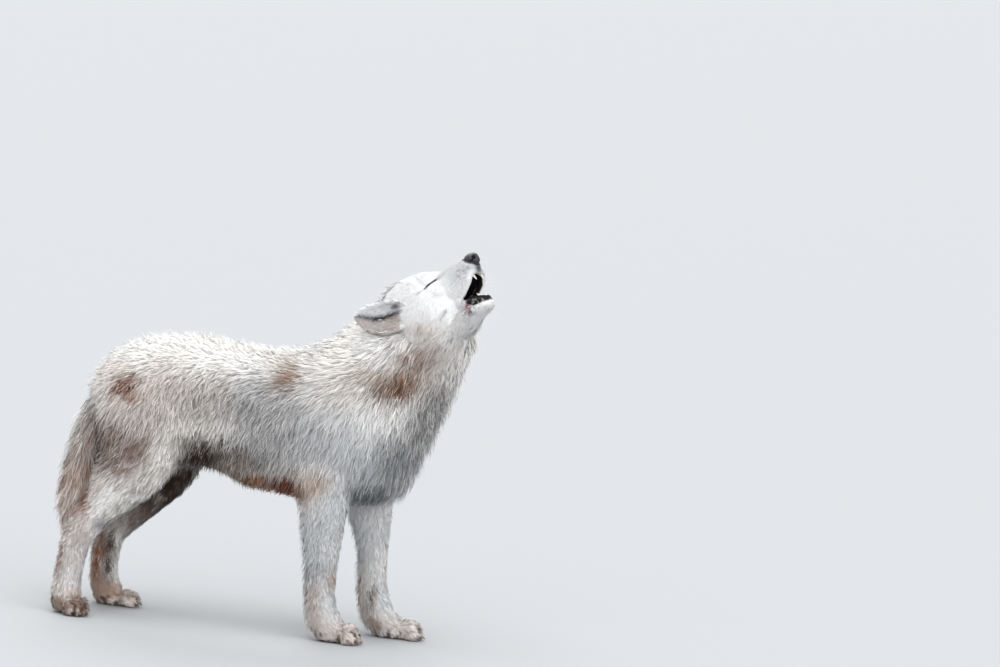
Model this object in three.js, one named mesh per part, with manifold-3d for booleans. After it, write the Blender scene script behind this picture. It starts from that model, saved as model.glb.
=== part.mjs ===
// An arctic wolf, standing on level ground with its head thrown back in a howl.
// It is a life-size still model: each part of the body is one closed solid, a thin gap away from its neighbours.
// Millimetres. +X is the way the wolf faces, +Y is its left, +Z is up. The origin is on the floor under the middle.

import * as THREE from "three";
import { mergeVertices } from "three/addons/utils/BufferGeometryUtils.js";
import Module from "manifold-3d";

const wasm = await Module();
wasm.setup();

// ---- Driving dimensions ---------------------------------------------------------------------------------

const GAP = 0.35; // left between neighbouring parts
const FINEST = 0.12; // detail finer than this is dropped
const FLOOR = 0; // the soles are cut flat at this height
const COAT = { body: 15, neck: 22, tail: 14, thigh: 11, cheek: 8 }; // from the core of the coat out to its tips
const LOCKS = {
  body: { length: 160, width: 104 },
  neck: { length: 135, width: 86 },
  tail: { length: 130, width: 52 },
  thigh: { length: 95, width: 46 },
  cheek: { length: 62, width: 34 },
};
const BODY_SIDES = 16;
const LEG_SIDES = 10;

// The trunk and neck, from rump to throat. Each row is a slice of the body: its back point (x, z), its belly point
// (x, z), its half width, and how high its widest level is between the two. All are measured over the coat.
const TRUNK = [
  [-462, 572, -458, 512, 22, 0.5],
  [-440, 618, -432, 462, 74, 0.5],
  [-395, 668, -382, 425, 104, 0.5],
  [-330, 703, -310, 408, 116, 0.52],
  [-250, 715, -225, 400, 116, 0.54],
  [-165, 718, -140, 398, 110, 0.52],
  [-80, 709, -70, 372, 114, 0.46],
  [0, 709, 5, 354, 126, 0.44],
  [70, 720, 95, 343, 134, 0.44],
  [122, 750, 215, 345, 138, 0.42],
  [158, 786, 330, 372, 136, 0.42],
  [186, 820, 385, 490, 130, 0.44],
  [212, 850, 428, 600, 121, 0.44],
  [240, 878, 462, 700, 106, 0.44],
  [268, 902, 478, 775, 90, 0.45],
  [292, 905, 470, 815, 66, 0.5],
];
const NECK_CUT = { back: [105, 738], chest: [372, 415] }; // the cut from withers to breast that parts neck and torso

// The tail hangs behind the thighs.
// Each row is a point on its middle line, then its half thickness fore and aft, and across.
const TAIL = [
  [-392, 0, 610, 26, 30],
  [-424, 0, 560, 32, 38],
  [-448, 0, 490, 37, 43],
  [-462, 0, 410, 40, 46],
  [-470, 0, 330, 41, 45],
  [-479, 0, 265, 34, 36],
  [-484, 0, 222, 19, 20],
  [-487, 0, 198, 5, 5],
];

// The legs: each row is a point on the middle line, then the half thickness fore and aft, and across.
const LEGS = {
  foreleg_right: [
    [130, -78, 470, 70, 42],
    [140, -84, 410, 68, 46],
    [150, -86, 350, 59, 43],
    [155, -86, 260, 47, 36],
    [160, -85, 170, 38, 31],
    [163, -84, 118, 36, 31],
    [174, -84, 70, 38, 33],
    [192, -84, 34, 38, 34],
    [198, -84, 14, 36, 31],
  ],
  foreleg_left: [
    [215, 78, 470, 66, 42],
    [240, 82, 400, 64, 45],
    [260, 83, 330, 54, 40],
    [277, 82, 240, 39, 33],
    [284, 81, 165, 34, 30],
    [291, 80, 112, 36, 31],
    [306, 80, 66, 39, 33],
    [328, 80, 34, 40, 34],
    [338, 80, 14, 38, 31],
  ],
  hindleg_right: [
    [-318, -62, 600, 80, 48],
    [-318, -72, 530, 112, 58],
    [-312, -80, 460, 112, 58],
    [-330, -88, 385, 88, 50],
    [-378, -94, 310, 60, 40],
    [-424, -98, 245, 43, 33],
    [-452, -100, 190, 36, 31],
    [-462, -101, 130, 33, 30],
    [-466, -102, 70, 33, 31],
    [-466, -104, 36, 34, 33],
    [-464, -105, 14, 32, 30],
  ],
  hindleg_left: [
    [-300, 62, 600, 80, 48],
    [-280, 72, 530, 110, 58],
    [-255, 80, 462, 106, 57],
    [-256, 88, 385, 84, 48],
    [-296, 93, 310, 62, 39],
    [-348, 96, 240, 48, 34],
    [-386, 97, 180, 38, 31],
    [-394, 98, 120, 34, 30],
    [-391, 98, 70, 34, 31],
    [-382, 98, 36, 35, 31],
    [-374, 98, 14, 34, 29],
  ],
};
// Where each leg is parted: the height of the cut above the paw, and on the hind legs that between thigh and shank.
const FOREPAW_CUT = 92;
const HINDPAW_CUT = 84;
const SHANK_CUT = {
  right: { at: [-378, 310], along: [-0.58, -0.81] },
  left: { at: [-300, 310], along: [-0.58, -0.81] },
};

// The paws: where each one's middle is, its heading in degrees to the left, its length and width.
const PAWS = {
  right_fore: { x: 222, y: -84, heading: -8, length: 108, width: 74 },
  left_fore: { x: 372, y: 80, heading: 6, length: 112, width: 72 },
  right_hind: { x: -450, y: -112, heading: -52, length: 96, width: 68 },
  left_hind: { x: -347, y: 99, heading: 4, length: 104, width: 66 },
};
const TOE_COUNT = 4;
const CLAW = { length: 17, radius: 3.4 };

// The head is made along its own axes, forward, left and up, from the point between the inner corners of the eyes.
const HEAD_AT = new THREE.Vector3(371, -38, 930);
const HEAD_PITCH = 43; // degrees nose up
const HEAD_YAW = -30; // degrees to the left
const SKULL = [
  // forward, top, bottom, half width, level of the widest point
  [-172, 20, -80, 40, 0.5],
  [-150, 44, -118, 74, 0.48],
  [-115, 56, -142, 88, 0.46],
  [-75, 56, -152, 88, 0.45],
  [-35, 46, -151, 80, 0.44],
  [-8, 32, -148, 66, 0.42],
  [12, 18, -128, 52, 0.42],
  [28, 10, -96, 40, 0.44],
];
const MUZZLE = [
  [-10, 6, -82, 47, 0.4],
  [25, 9, -90, 46, 0.34],
  [50, 7, -88, 44, 0.3],
  [72, 5, -77, 42, 0.3],
  [90, 2, -60, 36, 0.34],
  [102, -3, -49, 26, 0.42],
  [110, -9, -41, 17, 0.5],
];
const PALATE = [
  // forward, roof of the mouth, floor of the hollow, half width inside the lips
  [-30, -72, -108, 20],
  [10, -58, -124, 33],
  [45, -50, -140, 35],
  [72, -42, -140, 32],
  [88, -38, -140, 25],
  [99, -48, -140, 19],
  [130, -50, -140, 20],
];
const JAW = [
  // forward, top, bottom, half width
  [-20, -88, -146, 58],
  [15, -94, -150, 48],
  [40, -99, -149, 40],
  [62, -104, -147, 34],
  [79, -108, -143, 28],
  [87, -113, -139, 19],
  [92, -117, -132, 10],
];
const JAW_CUT = { corner: [38, -84], throat: [12, -152] }; // from the corner of the mouth down to the throat
const TONGUE = [
  // forward, height, half width, half thickness
  [0, -106, 18, 7],
  [30, -107, 21, 8],
  [55, -113, 18, 7],
  [70, -117, 13, 5],
  [78, -120, 6, 3],
];
const EYE = { radius: 11, at: [-15, 45, -10], lid: 2.5 }; // closed, the lids meet in a narrow slit
const SLIT = { toward: [-0.64, 0.77, -0.1], length: 36, height: 3.4 };
const NOSE = { at: [103, 0, -14], size: [20, 21, 18], nostril: 5 };
const EAR = {
  root: [-96, 106, -40],
  tip: [-187, 136, 22],
  across: [0.68, 0, 0.73],
  open: [0.37, 0.87, -0.34],
  thick: 5,
  rows: 9,
  columns: 6,
  outline: [
    // share of the length, reach of the upper edge, reach of the lower rim, depth of the cup, how far it sinks in
    [-0.12, 26, -28, 10, 34],
    [-0.02, 38, -38, 24, 8],
    [0.15, 40, -46, 28, 0],
    [0.42, 32, -49, 24, 0],
    [0.66, 25, -41, 16, 0],
    [0.81, 18, -31, 9, 0],
    [0.91, 12, -20, 4, 0],
    [0.98, 4, -8, 1, 0],
  ],
};

// ---- Small tools ----------------------------------------------------------------------------------------

const V = (x, y, z) => new THREE.Vector3(x, y, z);
const lerp = (a, b, t) => a + (b - a) * t;

// A seeded draw between low and high, the same on every run.
let seed = 17;
function draw(low, high) {
  seed = (seed * 16807) % 2147483647;
  return low + ((high - low) * seed) / 2147483647;
}

// The row at place s in a table of rows, on a smooth curve through them.
function rowAt(rows, s) {
  const last = rows.length - 1;
  const i = Math.min(Math.max(Math.floor(s), 0), last - 1);
  const t = s - i;
  if (t < 0 || t > 1) return rows[i].map((low, k) => lerp(low, rows[i + 1][k], t));
  const [a, b, c, d] = [rows[Math.max(i - 1, 0)], rows[i], rows[i + 1], rows[Math.min(i + 2, last)]];
  return b.map(
    (_, k) =>
      b[k] +
      0.5 * t * (c[k] - a[k] + t * (2 * a[k] - 5 * b[k] + 4 * c[k] - d[k] + t * (3 * (b[k] - c[k]) + d[k] - a[k]))),
  );
}

// A closed solid from a list of rings of points, its two ends closed to their middles.
function loft(rings) {
  const sides = rings[0].length;
  const middle = (ring) => ring.reduce((sum, p) => sum.add(p), V(0, 0, 0)).divideScalar(sides);
  const points = [...rings.flat(), middle(rings[0]), middle(rings.at(-1))];
  const start = rings.length * sides;
  const faces = [];
  for (let r = 0; r + 1 < rings.length; r++) {
    for (let k = 0; k < sides; k++) {
      const [a, b] = [r * sides + k, r * sides + ((k + 1) % sides)];
      faces.push([a, b, b + sides], [a, b + sides, a + sides]);
    }
  }
  const end = (rings.length - 1) * sides;
  for (let k = 0; k < sides; k++) {
    const next = (k + 1) % sides;
    faces.push([start, next, k], [start + 1, end + k, end + next]);
  }
  return solidOf(points, faces);
}

// A closed solid from points and triangles, turned inside out if its faces point in.
function solidOf(points, faces) {
  const vertProperties = new Float32Array(points.flatMap((p) => [p.x, p.y, p.z]));
  const meshOf = (list) => new wasm.Mesh({ numProp: 3, vertProperties, triVerts: new Uint32Array(list) });
  const make = (list) => new wasm.Manifold(meshOf(list));
  const made = make(faces.flat());
  return made.volume() > 0 ? made : make(faces.flatMap(([a, b, c]) => [a, c, b]));
}

// A three.js geometry as a solid.
function solidFrom(geometry, matrix = new THREE.Matrix4()) {
  const bare = new THREE.BufferGeometry();
  const plain = geometry.index ? geometry.toNonIndexed() : geometry;
  bare.setAttribute("position", plain.getAttribute("position").clone());
  bare.applyMatrix4(matrix);
  const merged = mergeVertices(bare, 1e-3);
  const triVerts = [...merged.index.array];
  const kept = [];
  for (let i = 0; i < triVerts.length; i += 3) {
    const [a, b, c] = triVerts.slice(i, i + 3);
    if (a !== b && b !== c && a !== c) kept.push([a, b, c]);
  }
  const position = merged.attributes.position;
  const pointAt = (_, i) => new THREE.Vector3().fromBufferAttribute(position, i);
  const points = Array.from({ length: position.count }, pointAt);
  return solidOf(points, kept);
}

const join = (solids) => wasm.Manifold.union(solids);
const hull = (points) => wasm.Manifold.hull(points.map((p) => p.toArray()));

// A solid with each of its corners moved outwards.
function swollen(solid, by) {
  const { vertProperties, triVerts } = solid.getMesh();
  const geometry = new THREE.BufferGeometry();
  geometry.setAttribute("position", new THREE.BufferAttribute(new Float32Array(vertProperties), 3));
  geometry.setIndex([...triVerts]);
  geometry.computeVertexNormals();
  const { position, normal } = geometry.attributes;
  const points = Array.from({ length: position.count }, (_, i) =>
    V(position.getX(i), position.getY(i), position.getZ(i)).add(
      V(normal.getX(i), normal.getY(i), normal.getZ(i)).multiplyScalar(by),
    ),
  );
  const faces = Array.from({ length: triVerts.length / 3 }, (_, i) => [...triVerts.slice(i * 3, i * 3 + 3)]);
  return solidOf(points, faces);
}

// The largest closed surface of a solid, without loose scraps or sealed hollows.
function largest(solid) {
  return solid.decompose().reduce((best, s) => (s.volume() > best.volume() ? s : best));
}

// The part of a solid on the far side of a plane through a point, the way the normal points.
function beyond(solid, normal, point, gap = GAP / 2) {
  const n = normal.clone().normalize();
  return solid.trimByPlane([n.x, n.y, n.z], n.dot(point) + gap);
}

// An ellipsoid with given half sizes, in a frame.
function ellipsoid(at, half, frame = new THREE.Matrix4(), rounds = 12) {
  const matrix = frame.clone().multiply(new THREE.Matrix4().compose(V(...at), new THREE.Quaternion(), V(...half)));
  return solidFrom(new THREE.SphereGeometry(1, rounds, Math.ceil(rounds / 2)), matrix);
}

// ---- Skins: a point on a rounded form, by place along it and angle round it from its top ----------------

const rounded = (x, power) => Math.sign(x) * Math.abs(x) ** power;

const smooth = (low, high, x) => THREE.MathUtils.smoothstep(x, low, high);

// How deep the coat's locks lie over the core at a place along the trunk.
const trunkDepth = (s) => lerp(COAT.body, COAT.neck, smooth(8, 11.5, s));

// The trunk's skin: 0 is out at the tips of the coat, 1 the core. Angle 0 is the back, growing towards the left side.
function trunkSkin(sunk) {
  return (s, angle) => {
    const [tx, tz, bx, bz, halfWidth, level] = rowAt(TRUNK, s);
    const inset = sunk * trunkDepth(s);
    const up = V(tx - bx, 0, tz - bz);
    const height = up.length();
    up.normalize();
    const middle = V(lerp(bx, tx, level), 0, lerp(bz, tz, level));
    const upper = Math.cos(angle) > 0;
    const reach = Math.max((upper ? 1 - level : level) * height - inset, 2);
    const across = Math.max(halfWidth - inset, 2);
    return middle
      .addScaledVector(up, reach * rounded(Math.cos(angle), 0.92))
      .add(V(0, across * rounded(Math.sin(angle), upper ? 1 : 0.85), 0));
  };
}

// The skin of a limb or tail, taken in by a depth along it. Angle 0 is its front, growing towards the left side.
function limbSkin(rows, depth) {
  return (s, angle) => {
    const [x, y, z, fore, side] = rowAt(rows, s);
    const inset = depth(s);
    const [ahead, behind] = [rowAt(rows, Math.min(s + 0.1, rows.length - 1)), rowAt(rows, Math.max(s - 0.1, 0))];
    const along = V(ahead[0] - behind[0], ahead[1] - behind[1], ahead[2] - behind[2]).normalize();
    const front = V(1, 0, 0).addScaledVector(along, -along.x).normalize();
    const left = along.clone().cross(front).normalize();
    if (left.y < 0) left.negate();
    return V(x, y, z)
      .addScaledVector(front, Math.max(fore - inset, 1.5) * Math.cos(angle))
      .addScaledVector(left, Math.max(side - inset, 1.5) * Math.sin(angle));
  };
}

// The rings of a skin between two places along it.
function ringsOf(skin, from, to, count, sides) {
  return Array.from({ length: count }, (_, i) =>
    Array.from({ length: sides }, (_, k) => skin(lerp(from, to, i / (count - 1)), (2 * Math.PI * k) / sides)),
  );
}

// ---- Locks of the long coat -----------------------------------------------------------------------------

const LOCK_STEPS = [
  // share of the length, share of the width, height of the underside as a share of the coat, thickness
  [0, 0.7, -0.9, 4],
  [0.32, 1, 0.1, 7],
  [0.72, 0.7, 0.62, 6],
];

// The path of one lock over a skin. It starts at a place and angle and runs the given way along the skin, turned by
// lean towards the belly. Each stop has its point, the normal there and the way ahead.
function lockPath(skin, { place, angle, length, lean, way }) {
  const side = Math.sin(angle) >= 0 ? 1 : -1;
  let [s, a, gone] = [place, angle, 0];
  const slopes = () => [skin(s + 0.05, a).sub(skin(s - 0.05, a)), skin(s, a + 0.05).sub(skin(s, a - 0.05))];
  return [...LOCK_STEPS.map(([share]) => share), 1].map((share) => {
    const steps = 3;
    for (let i = 0; i < steps; i++) {
      const [along, round] = slopes();
      const d = ((share - gone) * length) / steps;
      s += (way * d * Math.cos(lean)) / Math.max(along.length() * 10, 1);
      a += (side * d * Math.sin(lean)) / Math.max(round.length() * 10, 1);
    }
    gone = share;
    const [along, round] = slopes();
    const normal = along.cross(round).normalize();
    const point = skin(s, a);
    if (normal.dot(point.clone().sub(skin(s, a + Math.PI))) < 0) normal.negate();
    const ahead = skin(s + way * Math.cos(lean) * 0.03, a + side * Math.sin(lean) * 0.03).sub(point).normalize();
    return { point, normal, ahead, across: normal.clone().cross(ahead).normalize() };
  });
}

// The cross-sections of a lock, a low triangle at each stop but the last, where the lock ends in a point.
function lockSections({ path, width, rise }) {
  return path.map(({ point, normal, across }, i) => {
    if (i === LOCK_STEPS.length) return [point.clone().addScaledVector(normal, rise)];
    const [, wide, high, thick] = LOCK_STEPS[i];
    const base = point.clone().addScaledVector(normal, high * rise);
    const half = (wide * width) / 2;
    return [
      base.clone().addScaledVector(across, -half),
      base.clone().addScaledVector(across, half),
      base.clone().addScaledVector(normal, thick),
    ];
  });
}

// One flat, tapered lock. It rises along its path from inside the core to its tip, which stands rise above the core.
function lock(made) {
  const sections = lockSections(made);
  const faces = [[0, 2, 1]];
  for (let r = 0; r + 2 < sections.length; r++) {
    for (let k = 0; k < 3; k++) {
      const [p, q] = [r * 3 + k, r * 3 + ((k + 1) % 3)];
      faces.push([p, q, q + 3], [p, q + 3, p + 3]);
    }
  }
  const tip = (sections.length - 1) * 3;
  for (let k = 0; k < 3; k++) faces.push([tip - 3 + k, tip - 3 + ((k + 1) % 3), tip]);
  return solidOf(sections.flat(), faces);
}

// The room a lock takes up in a neighbour, which is the lock with a gap all round it.
function lockRoom(made) {
  const sections = lockSections(made).map((points, i, all) => {
    const { normal, across, ahead } = made.path[i];
    const end = i === 0 ? -GAP : i === all.length - 1 ? GAP : 0;
    return points.flatMap((p) =>
      [[-1, -1], [-1, 1], [1, -1], [1, 1]].map(([x, y]) =>
        p.clone().addScaledVector(across, x * GAP).addScaledVector(normal, y * GAP).addScaledVector(ahead, end),
      ),
    );
  });
  return join(sections.slice(1).map((points, i) => hull([...sections[i], ...points])));
}

// Rows of locks over a skin, each row set half a lock over from the last. Their sizes vary a little.
function coat(skin, { from, to, rows, perRow, angles, length, width, rise, lean = () => 0, way = -1 }) {
  const locks = [];
  for (let r = 0; r < rows; r++) {
    for (let k = 0; k < perRow; k++) {
      const share = (k + (r % 2 ? 0.75 : 0.25)) / perRow;
      const angle = lerp(angles[0], angles[1], share) + draw(-0.07, 0.07);
      const place = lerp(from, to, rows > 1 ? r / (rows - 1) : 0) + draw(-0.12, 0.12);
      const made = { place, angle, way, length: length * draw(0.85, 1.15), width: width * draw(0.85, 1.15) };
      made.rise = rise(place) * draw(0.85, 1.05);
      made.lean = lean(angle) + draw(-0.12, 0.12);
      locks.push({ ...made, path: lockPath(skin, made) });
    }
  }
  return locks;
}

// ---- The body -------------------------------------------------------------------------------------------

const NECK_NORMAL = V(NECK_CUT.back[1] - NECK_CUT.chest[1], 0, NECK_CUT.chest[0] - NECK_CUT.back[0]);
const NECK_POINT = V(NECK_CUT.back[0], 0, NECK_CUT.back[1]);

// Whether a point of the trunk's skin is covered by the top of a leg.
function underLeg(point) {
  return Object.entries(LEGS).some(([name, rows]) =>
    [0, 0.5, 1, 1.5, 2].some((s) => {
      const [x, y, z, fore] = rowAt(rows, s);
      return y * point.y > 0 && Math.hypot(point.x - x, point.z - z) < 0.85 * fore;
    }),
  );
}

const onNeck = (point) => NECK_NORMAL.dot(point.clone().sub(NECK_POINT)) > 0;

function trunkCore() {
  return loft(ringsOf(trunkSkin(1), 0, TRUNK.length - 1, 20, BODY_SIDES));
}

const tailDepth = (s) => COAT.tail * (1 - smooth(5.5, 7, s));

function tailCore() {
  return loft(ringsOf(limbSkin(TAIL, tailDepth), 0, TAIL.length - 1, 10, 8));
}

const thighDepth = (s) => COAT.thigh * (1 - smooth(2.6, 4, s));

// A leg down to its paw.
function legSolid(name) {
  const rows = LEGS[name];
  const depth = name.startsWith("hind") ? thighDepth : () => 0;
  return loft(ringsOf(limbSkin(rows, depth), 0, rows.length - 1, rows.length + 2, LEG_SIDES));
}

// A paw: the heel and the arch over it, then four toes, each with its claw, all cut flat at the floor.
function paw({ x, y, heading, length, width }) {
  const frame = new THREE.Matrix4()
    .makeTranslation(x, y, FLOOR)
    .multiply(new THREE.Matrix4().makeRotationZ(THREE.MathUtils.degToRad(heading)));
  const pieces = [
    ellipsoid([-length * 0.22, 0, 18], [length * 0.3, width * 0.4, 27], frame, 8),
    ellipsoid([length * 0.02, 0, 22], [length * 0.33, width * 0.44, 27], frame, 8),
  ];
  for (let i = 0; i < TOE_COUNT; i++) {
    const across = ((i + 0.5) / TOE_COUNT - 0.5) * 2; // -0.75 to 0.75
    const reach = length * (Math.abs(across) < 0.5 ? 0.36 : 0.26);
    const spread = across * width * 0.42;
    pieces.push(ellipsoid([reach - length * 0.07, spread, 18], [length * 0.17, width * 0.135, 27], frame, 6));
    const claw = new THREE.ConeGeometry(CLAW.radius, CLAW.length, 3);
    const turn = new THREE.Matrix4().makeRotationX(Math.PI / 2).multiply(new THREE.Matrix4().makeRotationZ(-1.92));
    const place = new THREE.Matrix4().makeTranslation(reach + length * 0.13, spread, 8);
    pieces.push(solidFrom(claw, frame.clone().multiply(place).multiply(turn)));
  }
  return pieces;
}

// ---- The head -------------------------------------------------------------------------------------------

const HEAD_FRAME = new THREE.Matrix4()
  .makeTranslation(HEAD_AT)
  .multiply(new THREE.Matrix4().makeRotationZ(THREE.MathUtils.degToRad(HEAD_YAW)))
  .multiply(new THREE.Matrix4().makeRotationY(-THREE.MathUtils.degToRad(HEAD_PITCH)));
const inHead = (f, l, u) => V(f, l, u).applyMatrix4(HEAD_FRAME);
const headWay = (f, l, u) => V(f, l, u).transformDirection(HEAD_FRAME);

// The skin of a form in the head, from rows of [forward, top, bottom, half width, level].
function headSkin(rows, inset) {
  return (s, angle) => {
    const [f, top, bottom, half, level = 0.5] = rowAt(rows, s);
    const middle = lerp(bottom, top, level);
    const reach = (Math.cos(angle) > 0 ? top - middle : middle - bottom) - inset;
    return inHead(
      f,
      Math.max(half - inset, 1) * rounded(Math.sin(angle), 0.85),
      middle + Math.max(reach, 1) * rounded(Math.cos(angle), 0.9),
    );
  };
}

function headForm(rows, inset, count, sides) {
  return loft(ringsOf(headSkin(rows, inset), 0, rows.length - 1, count, sides));
}

const eyeAt = (side) => [EYE.at[0], side * EYE.at[1], EYE.at[2]];
const jawNormal = headWay(JAW_CUT.corner[1] - JAW_CUT.throat[1], 0, JAW_CUT.throat[0] - JAW_CUT.corner[0]);
const jawPoint = inHead(JAW_CUT.corner[0], 0, JAW_CUT.corner[1]);

// The hollow of the mouth, under the roof of the mouth and between the lips.
function mouthHollow() {
  const rows = PALATE.map(([f, roof, floor, half]) => [f, roof, floor, half, 0.75]);
  return headForm(rows, 0, 12, 14);
}

// A tooth: a cone from its root to its tip.
function tooth(at, tip, radius) {
  const root = V(...at);
  const axis = V(...tip).sub(root);
  const cone = new THREE.ConeGeometry(radius, axis.length(), 6);
  cone.translate(0, axis.length() / 2, 0);
  const turn = new THREE.Quaternion().setFromUnitVectors(V(0, 1, 0), axis.clone().normalize());
  return solidFrom(cone, HEAD_FRAME.clone().multiply(new THREE.Matrix4().compose(root, turn, V(1, 1, 1))));
}

function upperTeeth() {
  const teeth = [];
  for (const side of [-1, 1]) {
    teeth.push(tooth([95, side * 20, -34], [97, side * 21, -57], 4.6));
    for (let i = 0; i < 3; i++) {
      const [f, l] = [103 - i * 3, side * (3 + i * 5.5)];
      teeth.push(tooth([f, l, -28], [f + 1, l, -41 + i], 2.6));
    }
    for (let i = 0; i < 4; i++) {
      const [f, l, u] = [80 - i * 14, side * (26 + i * 2.2), -34 - i * 5];
      teeth.push(tooth([f, l, u], [f, l, u - 20], 4.6));
    }
  }
  return teeth;
}

function lowerTeeth() {
  const teeth = [];
  for (const side of [-1, 1]) {
    teeth.push(tooth([80, side * 15, -118], [82, side * 18, -99], 4));
    for (let i = 0; i < 3; i++) {
      const [f, l] = [87 - i, side * (2.5 + i * 4)];
      teeth.push(tooth([f, l, -122], [f + 2, l, -109], 2.2));
    }
    for (let i = 0; i < 3; i++) {
      const [f, l, u] = [66 - i * 13, side * (22 + i * 4), -114 + i * 4];
      teeth.push(tooth([f, l, u], [f + 1, l, u + 15], 4.2));
    }
  }
  return teeth;
}

// The closed lids round one eye, a low dome over the ball, under a soft brow.
function lidDome(side) {
  const [f, l, u] = eyeAt(side);
  return join([
    ellipsoid([f, l, u], Array(3).fill(EYE.radius + EYE.lid), HEAD_FRAME, 14),
    ellipsoid([f - 8, l * 0.72, u + 20], [26, 20, 15], HEAD_FRAME, 12),
  ]);
}

function eyeSlit(side) {
  const along = V(SLIT.toward[0], side * SLIT.toward[1], SLIT.toward[2]).normalize();
  const out = V(along.y, -along.x, 0).multiplyScalar(side).normalize();
  const up = along.clone().cross(out).normalize();
  const [f, l, u] = eyeAt(side);
  const place = new THREE.Matrix4().makeBasis(along, out, up).setPosition(V(f, l, u).addScaledVector(out, 12));
  return solidFrom(new THREE.BoxGeometry(SLIT.length, 24, SLIT.height), HEAD_FRAME.clone().multiply(place));
}

const headForms = () => [headForm(SKULL, 0, 12, 16), headForm(MUZZLE, 0, 10, 14), ...[-1, 1].map(lidDome)];

// One ear: a leaf-shaped cup, laid back, open outwards. A sheet of it is its surface moved outwards, with a share of
// the cup's depth and a margin round its rim.
function earSheet(side, offset, cupped = 1, margin = 0) {
  const sided = ([f, l, u]) => V(f, side * l, u);
  const [root, tip] = [sided(EAR.root), sided(EAR.tip)];
  const along = tip.clone().sub(root).normalize();
  const across = sided(EAR.across).addScaledVector(along, -sided(EAR.across).dot(along)).normalize();
  const open = along.clone().cross(across).normalize();
  if (open.dot(sided(EAR.open)) < 0) open.negate();
  const points = [];
  for (let i = 0; i <= EAR.rows; i++) {
    const [v, upper, lower, depth, sink] = rowAt(EAR.outline, (i / EAR.rows) * (EAR.outline.length - 1));
    const onward = i === EAR.rows ? margin : i === 0 ? -margin : 0;
    for (let k = 0; k <= EAR.columns; k++) {
      const w = k / EAR.columns;
      const bend = cupped * depth * (1 - Math.abs(2 * w - 1) ** 2.2);
      const point = root.clone().lerp(tip, v).addScaledVector(along, onward);
      point.addScaledVector(across, lerp(lower - margin, upper + margin, w));
      point.addScaledVector(open, offset - bend - sink);
      points.push(point.applyMatrix4(HEAD_FRAME));
    }
  }
  return points;
}

// A closed solid between two such sheets.
function between(outer, inner) {
  const { rows, columns } = EAR;
  const layer = outer.length;
  const at = (i, k) => i * (columns + 1) + k;
  const faces = [];
  for (let i = 0; i < rows; i++) {
    for (let k = 0; k < columns; k++) {
      const [a, b, c, d] = [at(i, k), at(i, k + 1), at(i + 1, k + 1), at(i + 1, k)];
      faces.push([a, b, c], [a, c, d], [layer + a, layer + c, layer + b], [layer + a, layer + d, layer + c]);
    }
  }
  const rim = [
    ...Array.from({ length: columns }, (_, k) => at(0, k)),
    ...Array.from({ length: rows }, (_, i) => at(i, columns)),
    ...Array.from({ length: columns }, (_, k) => at(rows, columns - k)),
    ...Array.from({ length: rows }, (_, i) => at(rows - i, 0)),
  ];
  rim.forEach((a, i) => {
    const b = rim[(i + 1) % rim.length];
    faces.push([a, layer + a, b], [b, layer + a, layer + b]);
  });
  return solidOf([...outer, ...inner], faces);
}

const ear = (side) => between(earSheet(side, EAR.thick / 2), earSheet(side, -EAR.thick / 2));
// The room that the neck leaves free behind, round and in front of an ear.
const earRoom = (side) => between(earSheet(side, 40, 0, 1.5), earSheet(side, -EAR.thick / 2 - 1, 1, 1.5));

// ---- Parts, each cut clear of the ones it meets ---------------------------------------------------------

const MATERIALS = {
  coat: new THREE.MeshStandardMaterial({ color: 0xe6dfd6, roughness: 0.95, metalness: 0 }),
  face: new THREE.MeshStandardMaterial({ color: 0xefebe6, roughness: 0.9, metalness: 0 }),
  leg: new THREE.MeshStandardMaterial({ color: 0xddd0c4, roughness: 0.95, metalness: 0 }),
  nose: new THREE.MeshStandardMaterial({ color: 0x1c1a1b, roughness: 0.45, metalness: 0 }),
  eye: new THREE.MeshStandardMaterial({ color: 0x3a2a16, roughness: 0.15, metalness: 0 }),
  tongue: new THREE.MeshStandardMaterial({ color: 0x8a4a4c, roughness: 0.5, metalness: 0 }),
};
const wolf = new THREE.Group();

// A solid's surface as a three.js geometry.
function geometryOf(solid) {
  const { vertProperties, triVerts, numProp } = solid.getMesh();
  const position = new Float32Array((vertProperties.length / numProp) * 3);
  for (let i = 0; i < position.length / 3; i++) {
    position.set(vertProperties.subarray(i * numProp, i * numProp + 3), i * 3);
  }
  const geometry = new THREE.BufferGeometry();
  geometry.setAttribute("position", new THREE.BufferAttribute(position, 3));
  geometry.setIndex(new THREE.BufferAttribute(new Uint32Array(triVerts), 1));
  return geometry;
}

function add(name, solid, material) {
  const plain = largest(solid).simplify(FINEST);
  const mesh = new THREE.Mesh(geometryOf(largest(solidFrom(geometryOf(largest(plain))))), material);
  mesh.name = name;
  wolf.add(mesh);
}

const sideName = { [-1]: "right", 1: "left" };

// The locks of each part. Grown copies, a gap larger, cut the parts that they lie over.
const down = (angle) => 0.5 * Math.abs(Math.sin(angle));
const trunkAt = trunkSkin(1);
const round = [-Math.PI, Math.PI];
const neckCoat = { ...LOCKS.neck, rise: trunkDepth };
const bodyCoat = { ...LOCKS.body, rise: trunkDepth };
const tailCoat = { ...LOCKS.tail, rise: tailDepth };
const neckLocks = [
  ...coat(trunkAt, { ...neckCoat, from: 13.8, to: 8.6, rows: 5, perRow: 8, angles: round, lean: down }),
  ...coat(trunkAt, { ...neckCoat, from: 13.2, to: 9.6, rows: 3, perRow: 3, angles: [2.25, 4.03] }),
].filter(({ path }) => onNeck(path[0].point));
const torsoLocks = coat(trunkAt, { ...bodyCoat, from: 10.3, to: 2.4, rows: 7, perRow: 7, angles: round, lean: down })
  .filter(({ path }) => !onNeck(path[0].point) && !path.every(({ point }) => underLeg(point)));
const tailAt = limbSkin(TAIL, tailDepth);
const tailLocks = coat(tailAt, { ...tailCoat, from: 1.4, to: 4.5, rows: 4, perRow: 4, angles: round, way: 1 });
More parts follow.
